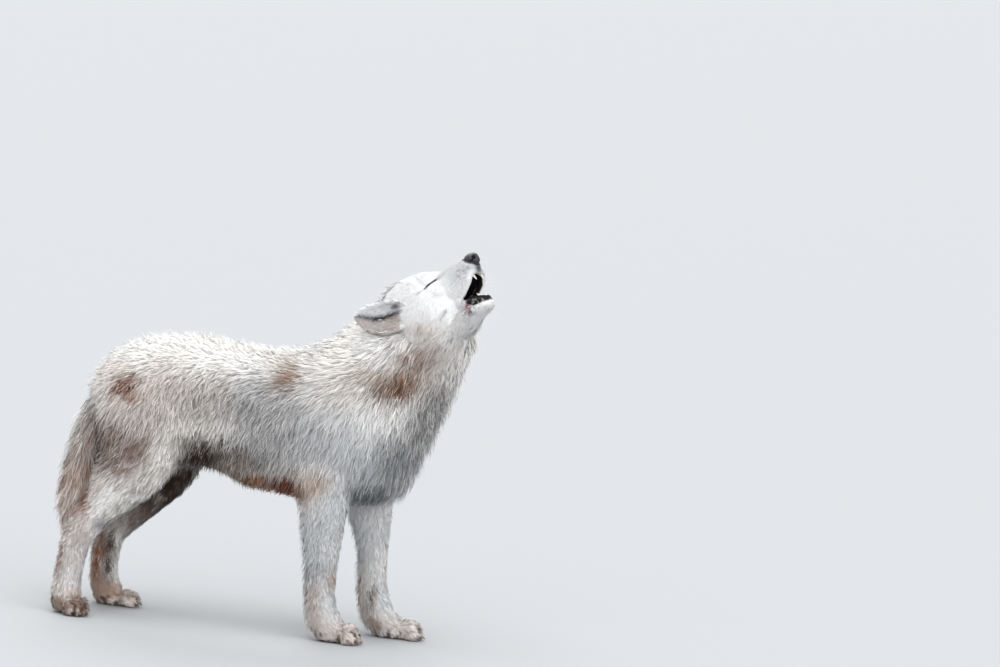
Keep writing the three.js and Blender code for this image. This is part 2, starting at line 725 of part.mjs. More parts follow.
const cheekLocks = [-1, 1].flatMap((side) =>
  coat(headSkin(SKULL, COAT.cheek), {
    ...LOCKS.cheek,
    from: 3.7,
    to: 2.6,
    rows: 2,
    perRow: 3,
    angles: [side * 1.5, side * 2.9],
    rise: () => 1.6 * COAT.cheek,
  }),
);

// The head, with the mouth's hollow, eye sockets and slits, the upper teeth and the locks of its cheeks.
const ball = (side, radius, rounds) => ellipsoid(eyeAt(side), Array(3).fill(radius), HEAD_FRAME, rounds);
const noseForm = (grow) => ellipsoid(NOSE.at, NOSE.size.map((r) => r + grow), HEAD_FRAME, 14);
const nostrils = [-1, 1].map((side) =>
  ellipsoid([NOSE.at[0] + 10, side * 10, NOSE.at[2] + 3], [8, NOSE.nostril, NOSE.nostril * 0.8], HEAD_FRAME, 8),
);
const swollenForms = headForms().map((form) => swollen(form, 1.3 * GAP));
const headGrown = largest(join([...swollenForms, ...cheekLocks.map(lockRoom)]));
const jawForm = (grow) => beyond(headForm(JAW, -grow, 11, 14), jawNormal, jawPoint, GAP / 2 - 2 * grow);
const eyeRooms = [-1, 1].map((side) => ball(side, EYE.radius + GAP + 0.5, 10));
const rooms = [mouthHollow(), noseForm(GAP), jawForm(GAP), ...eyeRooms];
const head = join([...headForms(), ...cheekLocks.map(lock)])
  .subtract(join([...rooms, ...[-1, 1].map(eyeSlit)]))
  .add(join(upperTeeth()).subtract(noseForm(GAP)));
// The jaw, from the corner of the mouth forward, hollowed for the tongue, with the lower teeth.
const tongueRows = (over, under) =>
  TONGUE.map(([f, u, half, thick]) => [f, u + thick + over, u - thick - under, half + under, 0.3]);
const tongue = headForm(tongueRows(0, 0), 0, 8, 10);
const tongueRoom = join([swollen(tongue, 1), headForm(tongueRows(25, 1.5), 0, 8, 10)]);
const jaw = jawForm(0).subtract(tongueRoom).add(join(lowerTeeth()));

add("head", head, MATERIALS.face);
add("lower_jaw", jaw, MATERIALS.face);
add("tongue", beyond(tongue, jawNormal, jawPoint, 2), MATERIALS.tongue);
add("nose", noseForm(0).subtract(join(nostrils)), MATERIALS.nose);
for (const side of [-1, 1]) {
  add(`eye_${sideName[side]}`, ball(side, EYE.radius, 10), MATERIALS.eye);
  add(`ear_${sideName[side]}`, ear(side).subtract(headGrown), MATERIALS.face);
}

// The legs: each is parted into thigh and shank, or is one piece, and ends in its paw.
const [up, floor] = [V(0, 0, 1), V(0, 0, FLOOR)];
const legRooms = [];
const thighRooms = [];
for (const side of [-1, 1]) {
  const name = sideName[side];
  const foreleg = legSolid(`foreleg_${name}`);
  const hindleg = legSolid(`hindleg_${name}`);
  legRooms.push(swollen(foreleg, 1.4 * GAP), swollen(hindleg, 1.4 * GAP));
  const thighAt = limbSkin(LEGS[`hindleg_${name}`], thighDepth);
  const locks = coat(thighAt, {
    ...LOCKS.thigh,
    from: 1.2,
    to: 3.1,
    rows: 3,
    perRow: 3,
    angles: [side * 1.6, side * 3.5],
    rise: () => COAT.thigh,
    way: 1,
  });
  thighRooms.push(...locks.map(lockRoom));
  const cut = SHANK_CUT[name];
  const [shankWay, shankAt] = [V(cut.along[0], 0, cut.along[1]), V(cut.at[0], 0, cut.at[1])];
  const thigh = join([beyond(hindleg, shankWay.clone().negate(), shankAt), ...locks.map(lock)]);
  const below = join(locks.map(lockRoom));
  const [foreTop, hindTop] = [V(0, 0, FOREPAW_CUT), V(0, 0, HINDPAW_CUT)];
  add(`foreleg_${name}`, beyond(foreleg, up, foreTop), MATERIALS.leg);
  add(`thigh_${name}`, thigh, MATERIALS.coat);
  add(`shank_${name}`, beyond(beyond(hindleg, shankWay, shankAt), up, hindTop).subtract(below), MATERIALS.leg);
  for (const [end, leg, top] of [["fore", foreleg, foreTop], ["hind", hindleg, hindTop]]) {
    const foot = beyond(join([leg, ...paw(PAWS[`${name}_${end}`])]), up.clone().negate(), top);
    add(`${end}paw_${name}`, beyond(foot, up, floor, 0), MATERIALS.leg);
  }
}

// The trunk, parted into torso and neck, and the tail.
const trunk = trunkCore();
const trunkRoom = swollen(trunk, 1.3 * GAP);
const neckCore = beyond(trunk, NECK_NORMAL, NECK_POINT);
const torsoCore = beyond(trunk, NECK_NORMAL.clone().negate(), NECK_POINT);
const earRooms = [-1, 1].map(earRoom);
const neck = join([neckCore, ...neckLocks.map(lock)]).subtract(
  join([headGrown, ...earRooms, beyond(headForm(JAW, -GAP, 11, 14), jawNormal, jawPoint, -5), ...legRooms]),
);
const torso = join([torsoCore, ...torsoLocks.map(lock)]).subtract(
  join([...legRooms, ...thighRooms, ...neckLocks.map(lockRoom), beyond(trunkRoom, NECK_NORMAL, NECK_POINT, -GAP / 2)]),
);
const tail = join([tailCore(), ...tailLocks.map(lock)]).subtract(
  join([trunkRoom, ...legRooms, ...thighRooms, ...torsoLocks.map(lockRoom)]),
);
add("torso", torso, MATERIALS.coat);
add("neck", neck, MATERIALS.coat);
add("tail", tail, MATERIALS.coat);

export default wolf;
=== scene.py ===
"""An arctic wolf, head thrown back in a howl: its skin, its coat and its face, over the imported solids.

Lengths are millimetres in the tables and functions, and metres in Blender. +X is the way the wolf faces, +Y its left.
"""

import math

import bpy
import numpy as np
from mathutils import Matrix, Vector
from mathutils.bvhtree import BVHTree
from mathutils.kdtree import KDTree


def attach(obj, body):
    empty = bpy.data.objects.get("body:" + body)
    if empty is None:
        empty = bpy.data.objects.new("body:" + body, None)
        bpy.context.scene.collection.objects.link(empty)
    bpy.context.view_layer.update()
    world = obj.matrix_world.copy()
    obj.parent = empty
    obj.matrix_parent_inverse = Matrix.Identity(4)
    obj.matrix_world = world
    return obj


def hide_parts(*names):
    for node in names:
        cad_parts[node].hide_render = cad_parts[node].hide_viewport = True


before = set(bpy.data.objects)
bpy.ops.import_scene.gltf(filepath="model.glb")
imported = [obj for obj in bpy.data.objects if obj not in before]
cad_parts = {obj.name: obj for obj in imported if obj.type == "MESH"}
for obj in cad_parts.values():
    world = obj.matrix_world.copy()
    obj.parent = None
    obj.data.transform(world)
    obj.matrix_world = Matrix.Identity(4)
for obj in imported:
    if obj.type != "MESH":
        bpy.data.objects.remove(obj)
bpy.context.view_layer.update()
rng = np.random.default_rng(41)

# ---- The wolf's forms, as in the solids ----

COAT = {"body": 15, "neck": 22, "tail": 14, "thigh": 11, "short": 3.5}
TRUNK = [
    # back x, back z, belly x, belly z, half width, level of the widest point
    [-462, 572, -458, 512, 22, 0.5], [-440, 618, -432, 462, 74, 0.5], [-395, 668, -382, 425, 104, 0.5],
    [-330, 703, -310, 408, 116, 0.52], [-250, 715, -225, 400, 116, 0.54], [-165, 718, -140, 398, 110, 0.52],
    [-80, 709, -70, 372, 114, 0.46], [0, 709, 5, 354, 126, 0.44], [70, 720, 95, 343, 134, 0.44],
    [122, 750, 215, 345, 138, 0.42], [158, 786, 330, 372, 136, 0.42], [186, 820, 385, 490, 130, 0.44],
    [212, 850, 428, 600, 121, 0.44], [240, 878, 462, 700, 106, 0.44], [268, 902, 478, 775, 90, 0.45],
    [292, 905, 470, 815, 66, 0.5],
]
TAIL = [
    # middle x, y, z, half thickness fore and aft, half thickness across
    [-392, 0, 610, 26, 30], [-424, 0, 560, 32, 38], [-448, 0, 490, 37, 43], [-462, 0, 410, 40, 46],
    [-470, 0, 330, 41, 45], [-479, 0, 265, 34, 36], [-484, 0, 222, 19, 20], [-487, 0, 198, 5, 5],
]
LEGS = {
    "foreleg_right": [
        [130, -78, 470, 70, 42], [140, -84, 410, 68, 46], [150, -86, 350, 59, 43], [155, -86, 260, 47, 36],
        [160, -85, 170, 38, 31], [163, -84, 118, 36, 31], [174, -84, 70, 38, 33], [192, -84, 34, 38, 34],
        [198, -84, 14, 36, 31],
    ],
    "foreleg_left": [
        [215, 78, 470, 66, 42], [240, 82, 400, 64, 45], [260, 83, 330, 54, 40], [277, 82, 240, 39, 33],
        [284, 81, 165, 34, 30], [291, 80, 112, 36, 31], [306, 80, 66, 39, 33], [328, 80, 34, 40, 34],
        [338, 80, 14, 38, 31],
    ],
    "hindleg_right": [
        [-318, -62, 600, 80, 48], [-318, -72, 530, 112, 58], [-312, -80, 460, 112, 58],
        [-330, -88, 385, 88, 50], [-378, -94, 310, 60, 40], [-424, -98, 245, 43, 33], [-452, -100, 190, 36, 31],
        [-462, -101, 130, 33, 30], [-466, -102, 70, 33, 31], [-466, -104, 36, 34, 33], [-464, -105, 14, 32, 30],
    ],
    "hindleg_left": [
        [-300, 62, 600, 80, 48], [-280, 72, 530, 110, 58], [-255, 80, 462, 106, 57], [-256, 88, 385, 84, 48],
        [-296, 93, 310, 62, 39], [-348, 96, 240, 48, 34], [-386, 97, 180, 38, 31], [-394, 98, 120, 34, 30],
        [-391, 98, 70, 34, 31], [-382, 98, 36, 35, 31], [-374, 98, 14, 34, 29],
    ],
}
PAWS = {
    # middle x, y, heading in degrees to the left, length, width
    "right_fore": (222, -84, -8, 108, 74),
    "left_fore": (372, 80, 6, 112, 72),
    "right_hind": (-450, -112, -52, 96, 68),
    "left_hind": (-347, 99, 4, 104, 66),
}
HEAD_AT, HEAD_PITCH, HEAD_YAW = (371, -38, 930), 43, -30
SKULL = [
    # forward, top, bottom, half width, level of the widest point, in the head's own frame
    [-172, 20, -80, 40, 0.5], [-150, 44, -118, 74, 0.48], [-115, 56, -142, 88, 0.46], [-75, 56, -152, 88, 0.45],
    [-35, 46, -151, 80, 0.44], [-8, 32, -148, 66, 0.42], [12, 18, -128, 52, 0.42], [28, 10, -96, 40, 0.44],
]
MUZZLE = [
    [-10, 6, -82, 47, 0.4], [25, 9, -90, 46, 0.34], [50, 7, -88, 44, 0.3], [72, 5, -77, 42, 0.3],
    [90, 2, -60, 36, 0.34], [102, -3, -49, 26, 0.42], [110, -9, -41, 17, 0.5],
]
PALATE = [
    # forward, roof of the mouth, floor of the hollow, half width inside the lips
    [-30, -72, -108, 20], [10, -58, -124, 33], [45, -50, -140, 35], [72, -42, -140, 32], [88, -38, -140, 25],
    [99, -48, -140, 19], [130, -50, -140, 20],
]
JAW = [
    # forward, top, bottom, half width
    [-20, -88, -146, 58], [15, -94, -150, 48], [40, -99, -149, 40], [62, -104, -147, 34], [79, -108, -143, 28],
    [87, -113, -139, 19], [92, -117, -132, 10],
]
TONGUE = [
    # forward, height, half width, half thickness
    [0, -106, 18, 7], [30, -107, 21, 8], [55, -113, 18, 7], [70, -117, 13, 5], [78, -120, 6, 3],
]
EYE = {"radius": 11, "at": (-15, 45, -10), "toward": (-0.64, 0.77, -0.1)}
NOSE = {"at": (103, 0, -14), "size": (20, 21, 18)}
EAR = {"root": (-96, 106, -40), "tip": (-187, 136, 22), "across": (0.68, 0, 0.73), "open": (0.37, 0.87, -0.34)}
EAR_ROWS = [
    # share of the length, reach of the upper edge, reach of the lower rim, depth of the cup, how far it sinks in
    [-0.12, 26, -28, 10, 34], [-0.02, 38, -38, 24, 8], [0.15, 40, -46, 28, 0], [0.42, 32, -49, 24, 0],
    [0.66, 25, -41, 16, 0], [0.81, 18, -31, 9, 0], [0.91, 12, -20, 4, 0], [0.98, 4, -8, 1, 0],
]
UPPER_LIP = [
    # forward, to the side, height of the middle, half thickness
    [30, 32, -83, 5], [43, 32, -80, 5.5], [53, 33, -77, 6], [62, 34, -72, 6.5], [72, 34.5, -66, 7],
    [82, 34, -59, 7], [92, 28, -48, 6.5], [98, 17, -43, 6.5], [100, 0, -40.5, 6.5],
]
LOWER_LIP = [
    [30, 33, -91, 5], [45, 32, -97, 5], [62, 27, -101.5, 5], [74, 22, -105, 5.5], [82.5, 14, -110.5, 6],
    [85.5, 0, -114, 6.5],
]
RUFF = [
    # the fill between the near cheek and the neck, from the head down: x, y, z, radius at its rear and at its front
    [(383, -80, 798, 38), (410, -85, 825, 36)],
    [(355, -62, 745, 44), (400, -65, 775, 40)],
    [(325, -42, 695, 46), (385, -45, 720, 42)],
]
FAR_RUFF = [
    # the fill between the far cheek and the neck: x, y, z, radius
    (395, 20, 850, 36), (378, 44, 848, 34), (418, 12, 832, 34),
    (430, -4, 820, 31), (438, -24, 812, 25), (356, 40, 866, 34),
]
UNDER_LIP = [
    # the fill under the lower lip
    [38, 31.5, -102, 7], [60, 27.5, -108, 7.5], [74, 22, -112, 7.5], [82, 14, -117, 7], [84.5, 0, -120, 7],
]
LIP_CORNER = [41, 33, -94, 5]
CREASES = [
    # the folds behind the mouth: from, to, each forward and height, and how deep
    ((-3, -90), (-23, -101), 2.6),
    ((10, -134), (-20, -139), 2.4),
    ((-8, -120), (-34, -132), 1.8),
]
EYE_SLIT = [
    # forward, to the side, height, half width of the opening
    [7, 37, -6, 0.7], [1, 46, -7, 2], [-6, 54, -9, 2.7], [-13, 61, -11, 2.3], [-21, 66, -13.5, 0.7],
]


# ---- Small tools ----


def unit(v):
    return v / np.maximum(np.linalg.norm(v, axis=-1, keepdims=True), 1e-9)


def step(low, high, x):
    t = np.clip((x - low) / (high - low), 0, 1)
    return t * t * (3 - 2 * t)


def power(x, n):
    return np.sign(x) * np.abs(x) ** n


def row_at(rows, s):
    """The row at place s in a table, on a smooth curve through its rows, and straight on past its ends."""
    rows, s = np.asarray(rows, float), np.asarray(s, float)
    last = len(rows) - 1
    i = np.clip(np.floor(s).astype(int), 0, last - 1)
    t = (s - i)[..., None]
    a, b, c, d = rows[np.maximum(i - 1, 0)], rows[i], rows[i + 1], rows[np.minimum(i + 2, last)]
    curve = b + 0.5 * t * (c - a + t * (2 * a - 5 * b + 4 * c - d + t * (3 * (b - c) + d - a)))
    return np.moveaxis(np.where((t < 0) | (t > 1), b + (c - b) * t, curve), -1, 0)


def hashed(ix, iy, iz, seed):
    h = (ix * 73856093) ^ (iy * 19349663) ^ (iz * 83492791) ^ (seed * 2654435)
    h = (h ^ (h >> 13)) * 1274126177 & 0x7FFFFFFF
    return ((h ^ (h >> 16)) & 0xFFFF) / 32767.5 - 1


def noise(p, size, seed=1):
    """Smooth noise from -1 to 1 at the points, with features of about the given size."""
    q = p / size
    base = np.floor(q).astype(np.int64)
    f = q - base
    f = f * f * (3 - 2 * f)
    total = 0
    for dx in (0, 1):
        for dy in (0, 1):
            for dz in (0, 1):
                w = 1.0
                for k, d in enumerate((dx, dy, dz)):
                    w = w * (f[..., k] if d else 1 - f[..., k])
                total = total + w * hashed(base[..., 0] + dx, base[..., 1] + dy, base[..., 2] + dz, seed)
    return total


def linear(rgb):
    """A colour as it is seen, 0 to 255, as linear light."""
    c = np.asarray(rgb, float) / 255
    return np.where(c <= 0.04045, c / 12.92, ((c + 0.055) / 1.055) ** 2.4)


def mesh_object(name, points, faces):
    """A Blender mesh object from points in millimetres and faces, all with the same number of corners."""
    points, faces = np.asarray(points, float) / 1000, np.asarray(faces, np.int32)
    me = bpy.data.meshes.new(name)
    me.vertices.add(len(points))
    me.vertices.foreach_set("co", points.astype(np.float32).ravel())
    count, sides = faces.shape
    me.loops.add(count * sides)
    me.loops.foreach_set("vertex_index", faces.ravel())
    me.polygons.add(count)
    me.polygons.foreach_set("loop_start", np.arange(0, count * sides, sides, dtype=np.int32))
    me.update(calc_edges=True)
    me.shade_smooth()
    ob = bpy.data.objects.new(name, me)
    bpy.context.scene.collection.objects.link(ob)
    return ob


def points_of(ob):
    co = np.empty(len(ob.data.vertices) * 3, np.float32)
    ob.data.vertices.foreach_get("co", co)
    return co.reshape(-1, 3).astype(float) * 1000


def set_points(ob, points):
    ob.data.vertices.foreach_set("co", (points / 1000).astype(np.float32).ravel())
    ob.data.update()


def normals_of(ob):
    n = np.empty(len(ob.data.vertices) * 3, np.float32)
    ob.data.vertex_normals.foreach_get("vector", n)
    return n.reshape(-1, 3).astype(float)


def applied(ob, kind, **settings):
    """ob with one modifier applied."""
    mod = ob.modifiers.new(kind, kind)
    for key, value in settings.items():
        setattr(mod, key, value)
    made = bpy.data.meshes.new_from_object(ob.evaluated_get(bpy.context.evaluated_depsgraph_get()))
    ob.modifiers.clear()
    old, ob.data = ob.data, made
    bpy.data.meshes.remove(old)
    return ob


def kd_tree(points):
    """A tree that finds the nearest of the points."""
    made = KDTree(len(points))
    for i, p in enumerate(points.tolist()):
        made.insert(p, i)
    made.balance()
    return made


def joined(name, objects):
    """The objects as one mesh object."""
    points, faces, start = [], [], 0
    for ob in objects:
        points.append(points_of(ob))
        faces += [[start + v for v in p.vertices] for p in ob.data.polygons]
        start += len(ob.data.vertices)
        bpy.data.meshes.remove(ob.data)
    me = bpy.data.meshes.new(name)
    me.from_pydata((np.concatenate(points) / 1000).tolist(), [], faces)
    ob = bpy.data.objects.new(name, me)
    bpy.context.scene.collection.objects.link(ob)
    return ob


def cut(ob, tool, operation="DIFFERENCE"):
    """ob with a closed tool taken out of it, or joined to it."""
    applied(ob, "BOOLEAN", object=tool, operation=operation, solver="MANIFOLD")
    bpy.data.meshes.remove(tool.data)
    return ob


def relaxed(ob, rounds, weight=None):
    """ob with its points moved towards the middle of their neighbours, by weight from 0 to 1."""
    edges = np.empty(len(ob.data.edges) * 2, np.int32)
    ob.data.edges.foreach_get("vertices", edges)
    a, b = edges.reshape(-1, 2).T
    p = points_of(ob)
    n = len(p)
    count = np.maximum(np.bincount(a, minlength=n) + np.bincount(b, minlength=n), 1)
    w = 0.6 if weight is None else 0.6 * weight[:, None]
    for _ in range(rounds):
        total = np.stack([np.bincount(a, p[b, k], n) + np.bincount(b, p[a, k], n) for k in range(3)], 1)
        p = p + w * (total / count[:, None] - p)
    set_points(ob, p)
    return ob


# ---- Skins: a point on a form by place s along it and angle a round it ----


def trunk_skin(inset):
    def skin(s, a):
        tx, tz, bx, bz, half, level = row_at(TRUNK, s)
        sunk = inset(s)
        up = np.stack([tx - bx, 0 * tx, tz - bz], -1)
        height = np.linalg.norm(up, axis=-1)
        middle = np.stack([bx + (tx - bx) * level, 0 * tx, bz + (tz - bz) * level], -1)
        upper = np.cos(a) > 0
        reach = np.maximum(np.where(upper, 1 - level, level) * height - sunk, 2)
        across = np.maximum(half - sunk, 2) * power(np.sin(a), np.where(upper, 1, 0.85))
        return middle + unit(up) * (reach * power(np.cos(a), 0.92))[..., None] + across[..., None] * np.array([0, 1, 0])

    return skin


def limb_skin(rows, inset):
    def skin(s, a):
        x, y, z, fore, side = row_at(rows, s)
        sunk = inset(s)
        ahead = np.stack(row_at(rows, np.minimum(s + 0.1, len(rows) - 1))[:3], -1)
        behind = np.stack(row_at(rows, np.maximum(s - 0.1, 0))[:3], -1)
        along = unit(ahead - behind)
        front = unit(np.array([1.0, 0, 0]) - along * along[..., :1])
        left = unit(np.cross(along, front))
        left = np.where(left[..., 1:2] < 0, -left, left)
        return (
            np.stack([x, y, z], -1)
            + front * (np.maximum(fore - sunk, 1.5) * np.cos(a))[..., None]
            + left * (np.maximum(side - sunk, 1.5) * np.sin(a))[..., None]
        )

    return skin


HEAD_TURN = np.array(
    Matrix.Rotation(math.radians(HEAD_YAW), 3, "Z") @ Matrix.Rotation(-math.radians(HEAD_PITCH), 3, "Y")
)
BEAD_GAP = 3.0  # between the balls of a lip


def from_head(p):
    return np.asarray(p, float) @ HEAD_TURN.T + np.array(HEAD_AT, float)


def in_head(p):
    return (np.asarray(p, float) - np.array(HEAD_AT, float)) @ HEAD_TURN


def head_skin(rows, inset):
    def skin(s, a):
        row = row_at(rows, s)
        f, top, bottom, half = row[:4]
        middle = bottom + (top - bottom) * (row[4] if len(row) > 4 else 0.5)
        reach = np.maximum(np.where(np.cos(a) > 0, top - middle, middle - bottom) - inset, 1)
        across = np.maximum(half - inset, 1) * power(np.sin(a), 0.85)
        return from_head(np.stack([f, across, middle + reach * power(np.cos(a), 0.9)], -1))

    return skin


def grid_points(skin, start, end, rings, sides):
    s, a = np.meshgrid(np.linspace(start, end, rings), np.linspace(0, 2 * np.pi, sides, endpoint=False), indexing="ij")
    return skin(s, a)


def wall(rings, sides):
    """The triangles between rings of points."""
    faces = []
    for r in range(rings - 1):
        for k in range(sides):
            p, q = r * sides + k, r * sides + (k + 1) % sides
            faces += [[p, q, q + sides], [p, q + sides, p + sides]]
    return faces


def tube(name, skin, end, rings, sides, start=0):
    """A closed tube over a skin, its ends closed to their middles."""
    points = grid_points(skin, start, end, rings, sides)
    faces = wall(rings, sides)
    first, last = rings * sides, rings * sides + 1
    for k in range(sides):
        n = (k + 1) % sides
        faces += [[first, n, k], [last, (rings - 1) * sides + k, (rings - 1) * sides + n]]
    every = np.concatenate([points.reshape(-1, 3), [points[0].mean(0)], [points[-1].mean(0)]])
    faces = np.array(faces)
    corners = every[faces]
    if np.einsum("ij,ij->i", corners[:, 0], np.cross(corners[:, 1], corners[:, 2])).sum() < 0:
        faces = faces[:, ::-1]
    return mesh_object(name, every, faces)


def ball(name, middle, half, rounds=28, place=lambda p: p):
    """A closed ellipsoid. place moves its points into the world."""

    def skin(s, a):
        p = np.stack([np.cos(s), np.sin(s) * np.cos(a), np.sin(s) * np.sin(a)], -1) * np.array(half)
        return place(p + np.array(middle, float))

    return tube(name, skin, math.pi - 0.02, rounds // 2 + 1, rounds, start=0.02)


def beads(name, rows, tall=1.0):
    """A row of overlapping balls on both sides of the head, through rows of forward, side, height, half thickness."""
    made = []
    length = np.linalg.norm(np.diff(np.array(rows)[:, :3], axis=0), axis=1).sum()
    for t in np.linspace(0, len(rows) - 1, int(length / BEAD_GAP) + 1):
        f, l, u, half = row_at(rows, t)
        for side in (-1, 1):
            made.append(ball(name, (f, side * l, u), (half, half, half * tall), rounds=14, place=from_head))
    return made


# ---- The skin ----

VOXEL = {"body": 0.0055, "paw": 0.0021, "skull": 0.0022, "head": 0.0018}  # metres
FLOOR_GAP = 0.4  # how far the soles and the tufts stay over the floor
KEPT_FACES = 0.59  # the share of the joined skin's faces that is kept
FAR_EAR_SHIFT = (5, 4, -19)  # how the far ear's tip lies off its mirrored place

# How deep the skin lies under the coat's tips.
trunk_depth = lambda s: (
    (COAT["body"] + (COAT["neck"] - COAT["body"]) * step(8, 11.5, s)) * (1 - 0.75 * step(12, 14.5, s))
)
tail_depth = lambda s: COAT["tail"] * (1 - step(5.5, 7, s))
thigh_depth = lambda s: COAT["thigh"] * (1 - step(2.6, 4, s)) + COAT["short"] * step(2.6, 4, s)
short_depth = lambda s: COAT["short"] + 0 * s
SKINS = {"trunk": (trunk_skin(trunk_depth), 15), "tail": (limb_skin(TAIL, tail_depth), 7)}
for leg, rows in LEGS.items():
    SKINS[leg] = (limb_skin(rows, thigh_depth if leg.startswith("hind") else short_depth), len(rows) - 1)
SKINS["skull"] = (head_skin(SKULL, 5), 7)
SKINS["muzzle"] = (head_skin(MUZZLE, 2), 6)
SKINS["jaw"] = (head_skin(JAW, 2), 6)

# The body without its head and paws.
parts = [tube(n, *SKINS[n], rings, sides) for n, rings, sides in (("trunk", 60, 48), ("tail", 30, 24))]
parts += [tube(n, SKINS[n][0], SKINS[n][1], 44, 28) for n in LEGS]
for t in (0, 0.5, 1):
    for k in (0, 0.25, 0.5, 0.75, 1):
        *at, radius = row_at([[p + (q - p) * t for p, q in zip(a, b)] for a, b in RUFF], k * 2)
        parts.append(ball("ruff", at, (radius,) * 3))
parts += [ball("ruff", at, (radius,) * 3) for *at, radius in FAR_RUFF]
body = applied(joined("body", parts), "REMESH", mode="VOXEL", voxel_size=VOXEL["body"])
relaxed(body, 6)


def toes(length):
    """The place across and the reach ahead of each of a paw's four toes."""
    for across in (-0.75, -0.25, 0.25, 0.75):
        yield across, length * (0.36 if abs(across) < 0.5 else 0.26)


def paw_forms(length, width, shrink, tall=1.0):
    """The middles and half sizes of a paw's forms, in its own frame: heel, arch, four toes and the pads under them."""
    forms = [
        ((-length * 0.22, 0, 19), (length * 0.3, width * 0.4, 25)),
        ((length * 0.09, 0, 22), (length * 0.33, width * 0.42, 24)),
    ]
    for across, reach in toes(length):
        forms.append(((reach - length * 0.04, across * width * 0.47, 12), (length * 0.15, width * 0.122, 13.5)))
        forms.append(((reach - length * 0.12, across * width * 0.43, 25.5), (length * 0.16, width * 0.122, 16)))
    low = lambda v: (v[0], v[1], v[2] * tall) if v[2] > 14 else v
    return [(low(m), tuple(h - shrink for h in low(half))) for m, half in forms]


def paw_place(x, y, heading):
    c, s = math.cos(math.radians(heading)), math.sin(math.radians(heading))
    return lambda p: np.asarray(p) @ np.array([[c, s, 0], [-s, c, 0], [0, 0, 1.0]]) + np.array([x, y, 0.0])


paw_meshes = []
for name, (x, y, heading, length, width) in PAWS.items():
    side, end = name.split("_")
    leg = f"{end}leg_{side}"
    place = paw_place(x, y, heading)
    forms = paw_forms(length, width, 1.6, 0.78 if name == "left_hind" else 1.0)
    pieces = [ball("b", m, h, place=place, rounds=20) for m, h in forms]
    rows = LEGS[leg]
    start = len(rows) - 4.2
    sunk = lambda s: COAT["short"] + 7 * step(start + 1.1, start, s)
    pieces.append(tube("t", limb_skin(rows, sunk), SKINS[leg][1], 24, 28, start=start))
    paw = applied(joined(name, pieces), "REMESH", mode="VOXEL", voxel_size=VOXEL["paw"])
    p = points_of(relaxed(paw, 3))
    p[:, 2] = np.maximum(p[:, 2], FLOOR_GAP)
    set_points(paw, p)
    paw_meshes.append(paw)

# The head: skull and muzzle hollowed by the mouth, then the jaw, brows, lids and ears.
HOLLOW = [row + [0.75] for row in PALATE]


def ear_skin(side, offset):
    """One face of an ear, a leaf-shaped cup, laid back and open outwards, by share along it and share across it."""
    sided = lambda v: np.array([v[0], side * v[1], v[2]], float)
    root, tip = sided(EAR["root"]), sided(EAR["tip"]) + (np.array(FAR_EAR_SHIFT) if side > 0 else 0)
    along = unit(tip - root)
    across = sided(EAR["across"])
    across = unit(across - along * (across @ along))
    out = unit(np.cross(along, across))
    if out @ sided(EAR["open"]) < 0:
        out = -out

    def skin(i, w):
        v, upper, lower, depth, sink = row_at(EAR_ROWS, i * (len(EAR_ROWS) - 1))
        bend = depth * (1 - np.abs(2 * w - 1) ** 2.2)
        reach = lower + 2 + (upper - lower - 4) * w
        head = root + (tip - root) * v[..., None]
        return from_head(head + reach[..., None] * across + (offset - bend - sink)[..., None] * out)

    return skin


def ear_solid(side):
    """An ear as a closed sheet of even thickness."""
    thick, rows, columns = 4.4, 30, 22
    grid = np.meshgrid(np.linspace(0, 1, rows), np.linspace(0, 1, columns), indexing="ij")
    sheets = [ear_skin(side, offset)(*grid).reshape(-1, 3) for offset in (thick / 2, -thick / 2)]
    layer = rows * columns
    faces = []
    for i in range(rows - 1):
        for k in range(columns - 1):
            a = i * columns + k
            quad = [a, a + 1, a + 1 + columns, a + columns]
            faces += [quad, [layer + v for v in quad[::-1]]]
    rim = [k for k in range(columns)] + [i * columns + columns - 1 for i in range(1, rows)]
    rim += [(rows - 1) * columns + k for k in range(columns - 2, -1, -1)]
    rim += [i * columns for i in range(rows - 2, 0, -1)]
    for a, b in zip(rim, rim[1:] + rim[:1]):
        faces.append([a, layer + a, layer + b, b])
    return mesh_object("ear", np.concatenate(sheets), faces)


head = [tube("skull", *SKINS["skull"], 40, 48), tube("muzzle", *SKINS["muzzle"], 40, 48)]
for side in (-1, 1):
    f, l, u = np.array(EYE["at"], float) * [1, side, 1]
    head.append(ball("lid", (f, l, u), (EYE["radius"] + 1.6,) * 3, place=from_head))
    head.append(ball("brow", (f - 8, l * 0.72, u + 19), (27, 20, 14.5), place=from_head))
    head.append(ball("cheek", (f + 2, side * 42, u - 32), (30, 17, 20), place=from_head))
head = applied(joined("head", head), "REMESH", mode="VOXEL", voxel_size=VOXEL["skull"])
relaxed(head, 6)
cut(head, tube("hollow", head_skin(HOLLOW, 0), 5, 40, 40))
jaw = tube("jaw", *SKINS["jaw"], 40, 40)
trough = [[f, u + 30, u - thick - 1, half + 1.5] for f, u, half, thick in TONGUE] + [[84, -95, -119, 6]]
cut(jaw, tube("trough", head_skin([[-30, -70, -112, 18]] + trough, 0), len(trough), 30, 30))
pieces = [head, jaw] + [ear_solid(side) for side in (-1, 1)]
pieces += beads("lip", UPPER_LIP[1:], 1.25) + beads("lip", [LIP_CORNER] + LOWER_LIP[1:]) + beads("lip", UNDER_LIP)
pieces += [ball("corner", (29, l, -90), (12.5, 9, 14), place=from_head) for l in (-30.5, 30.5)]
pieces += [ball("chin", (77, 0, -125), (14.5, 17, 13), place=from_head)]
head = applied(joined("head", pieces), "REMESH", mode="VOXEL", voxel_size=VOXEL["head"])
relaxed(head, 3)


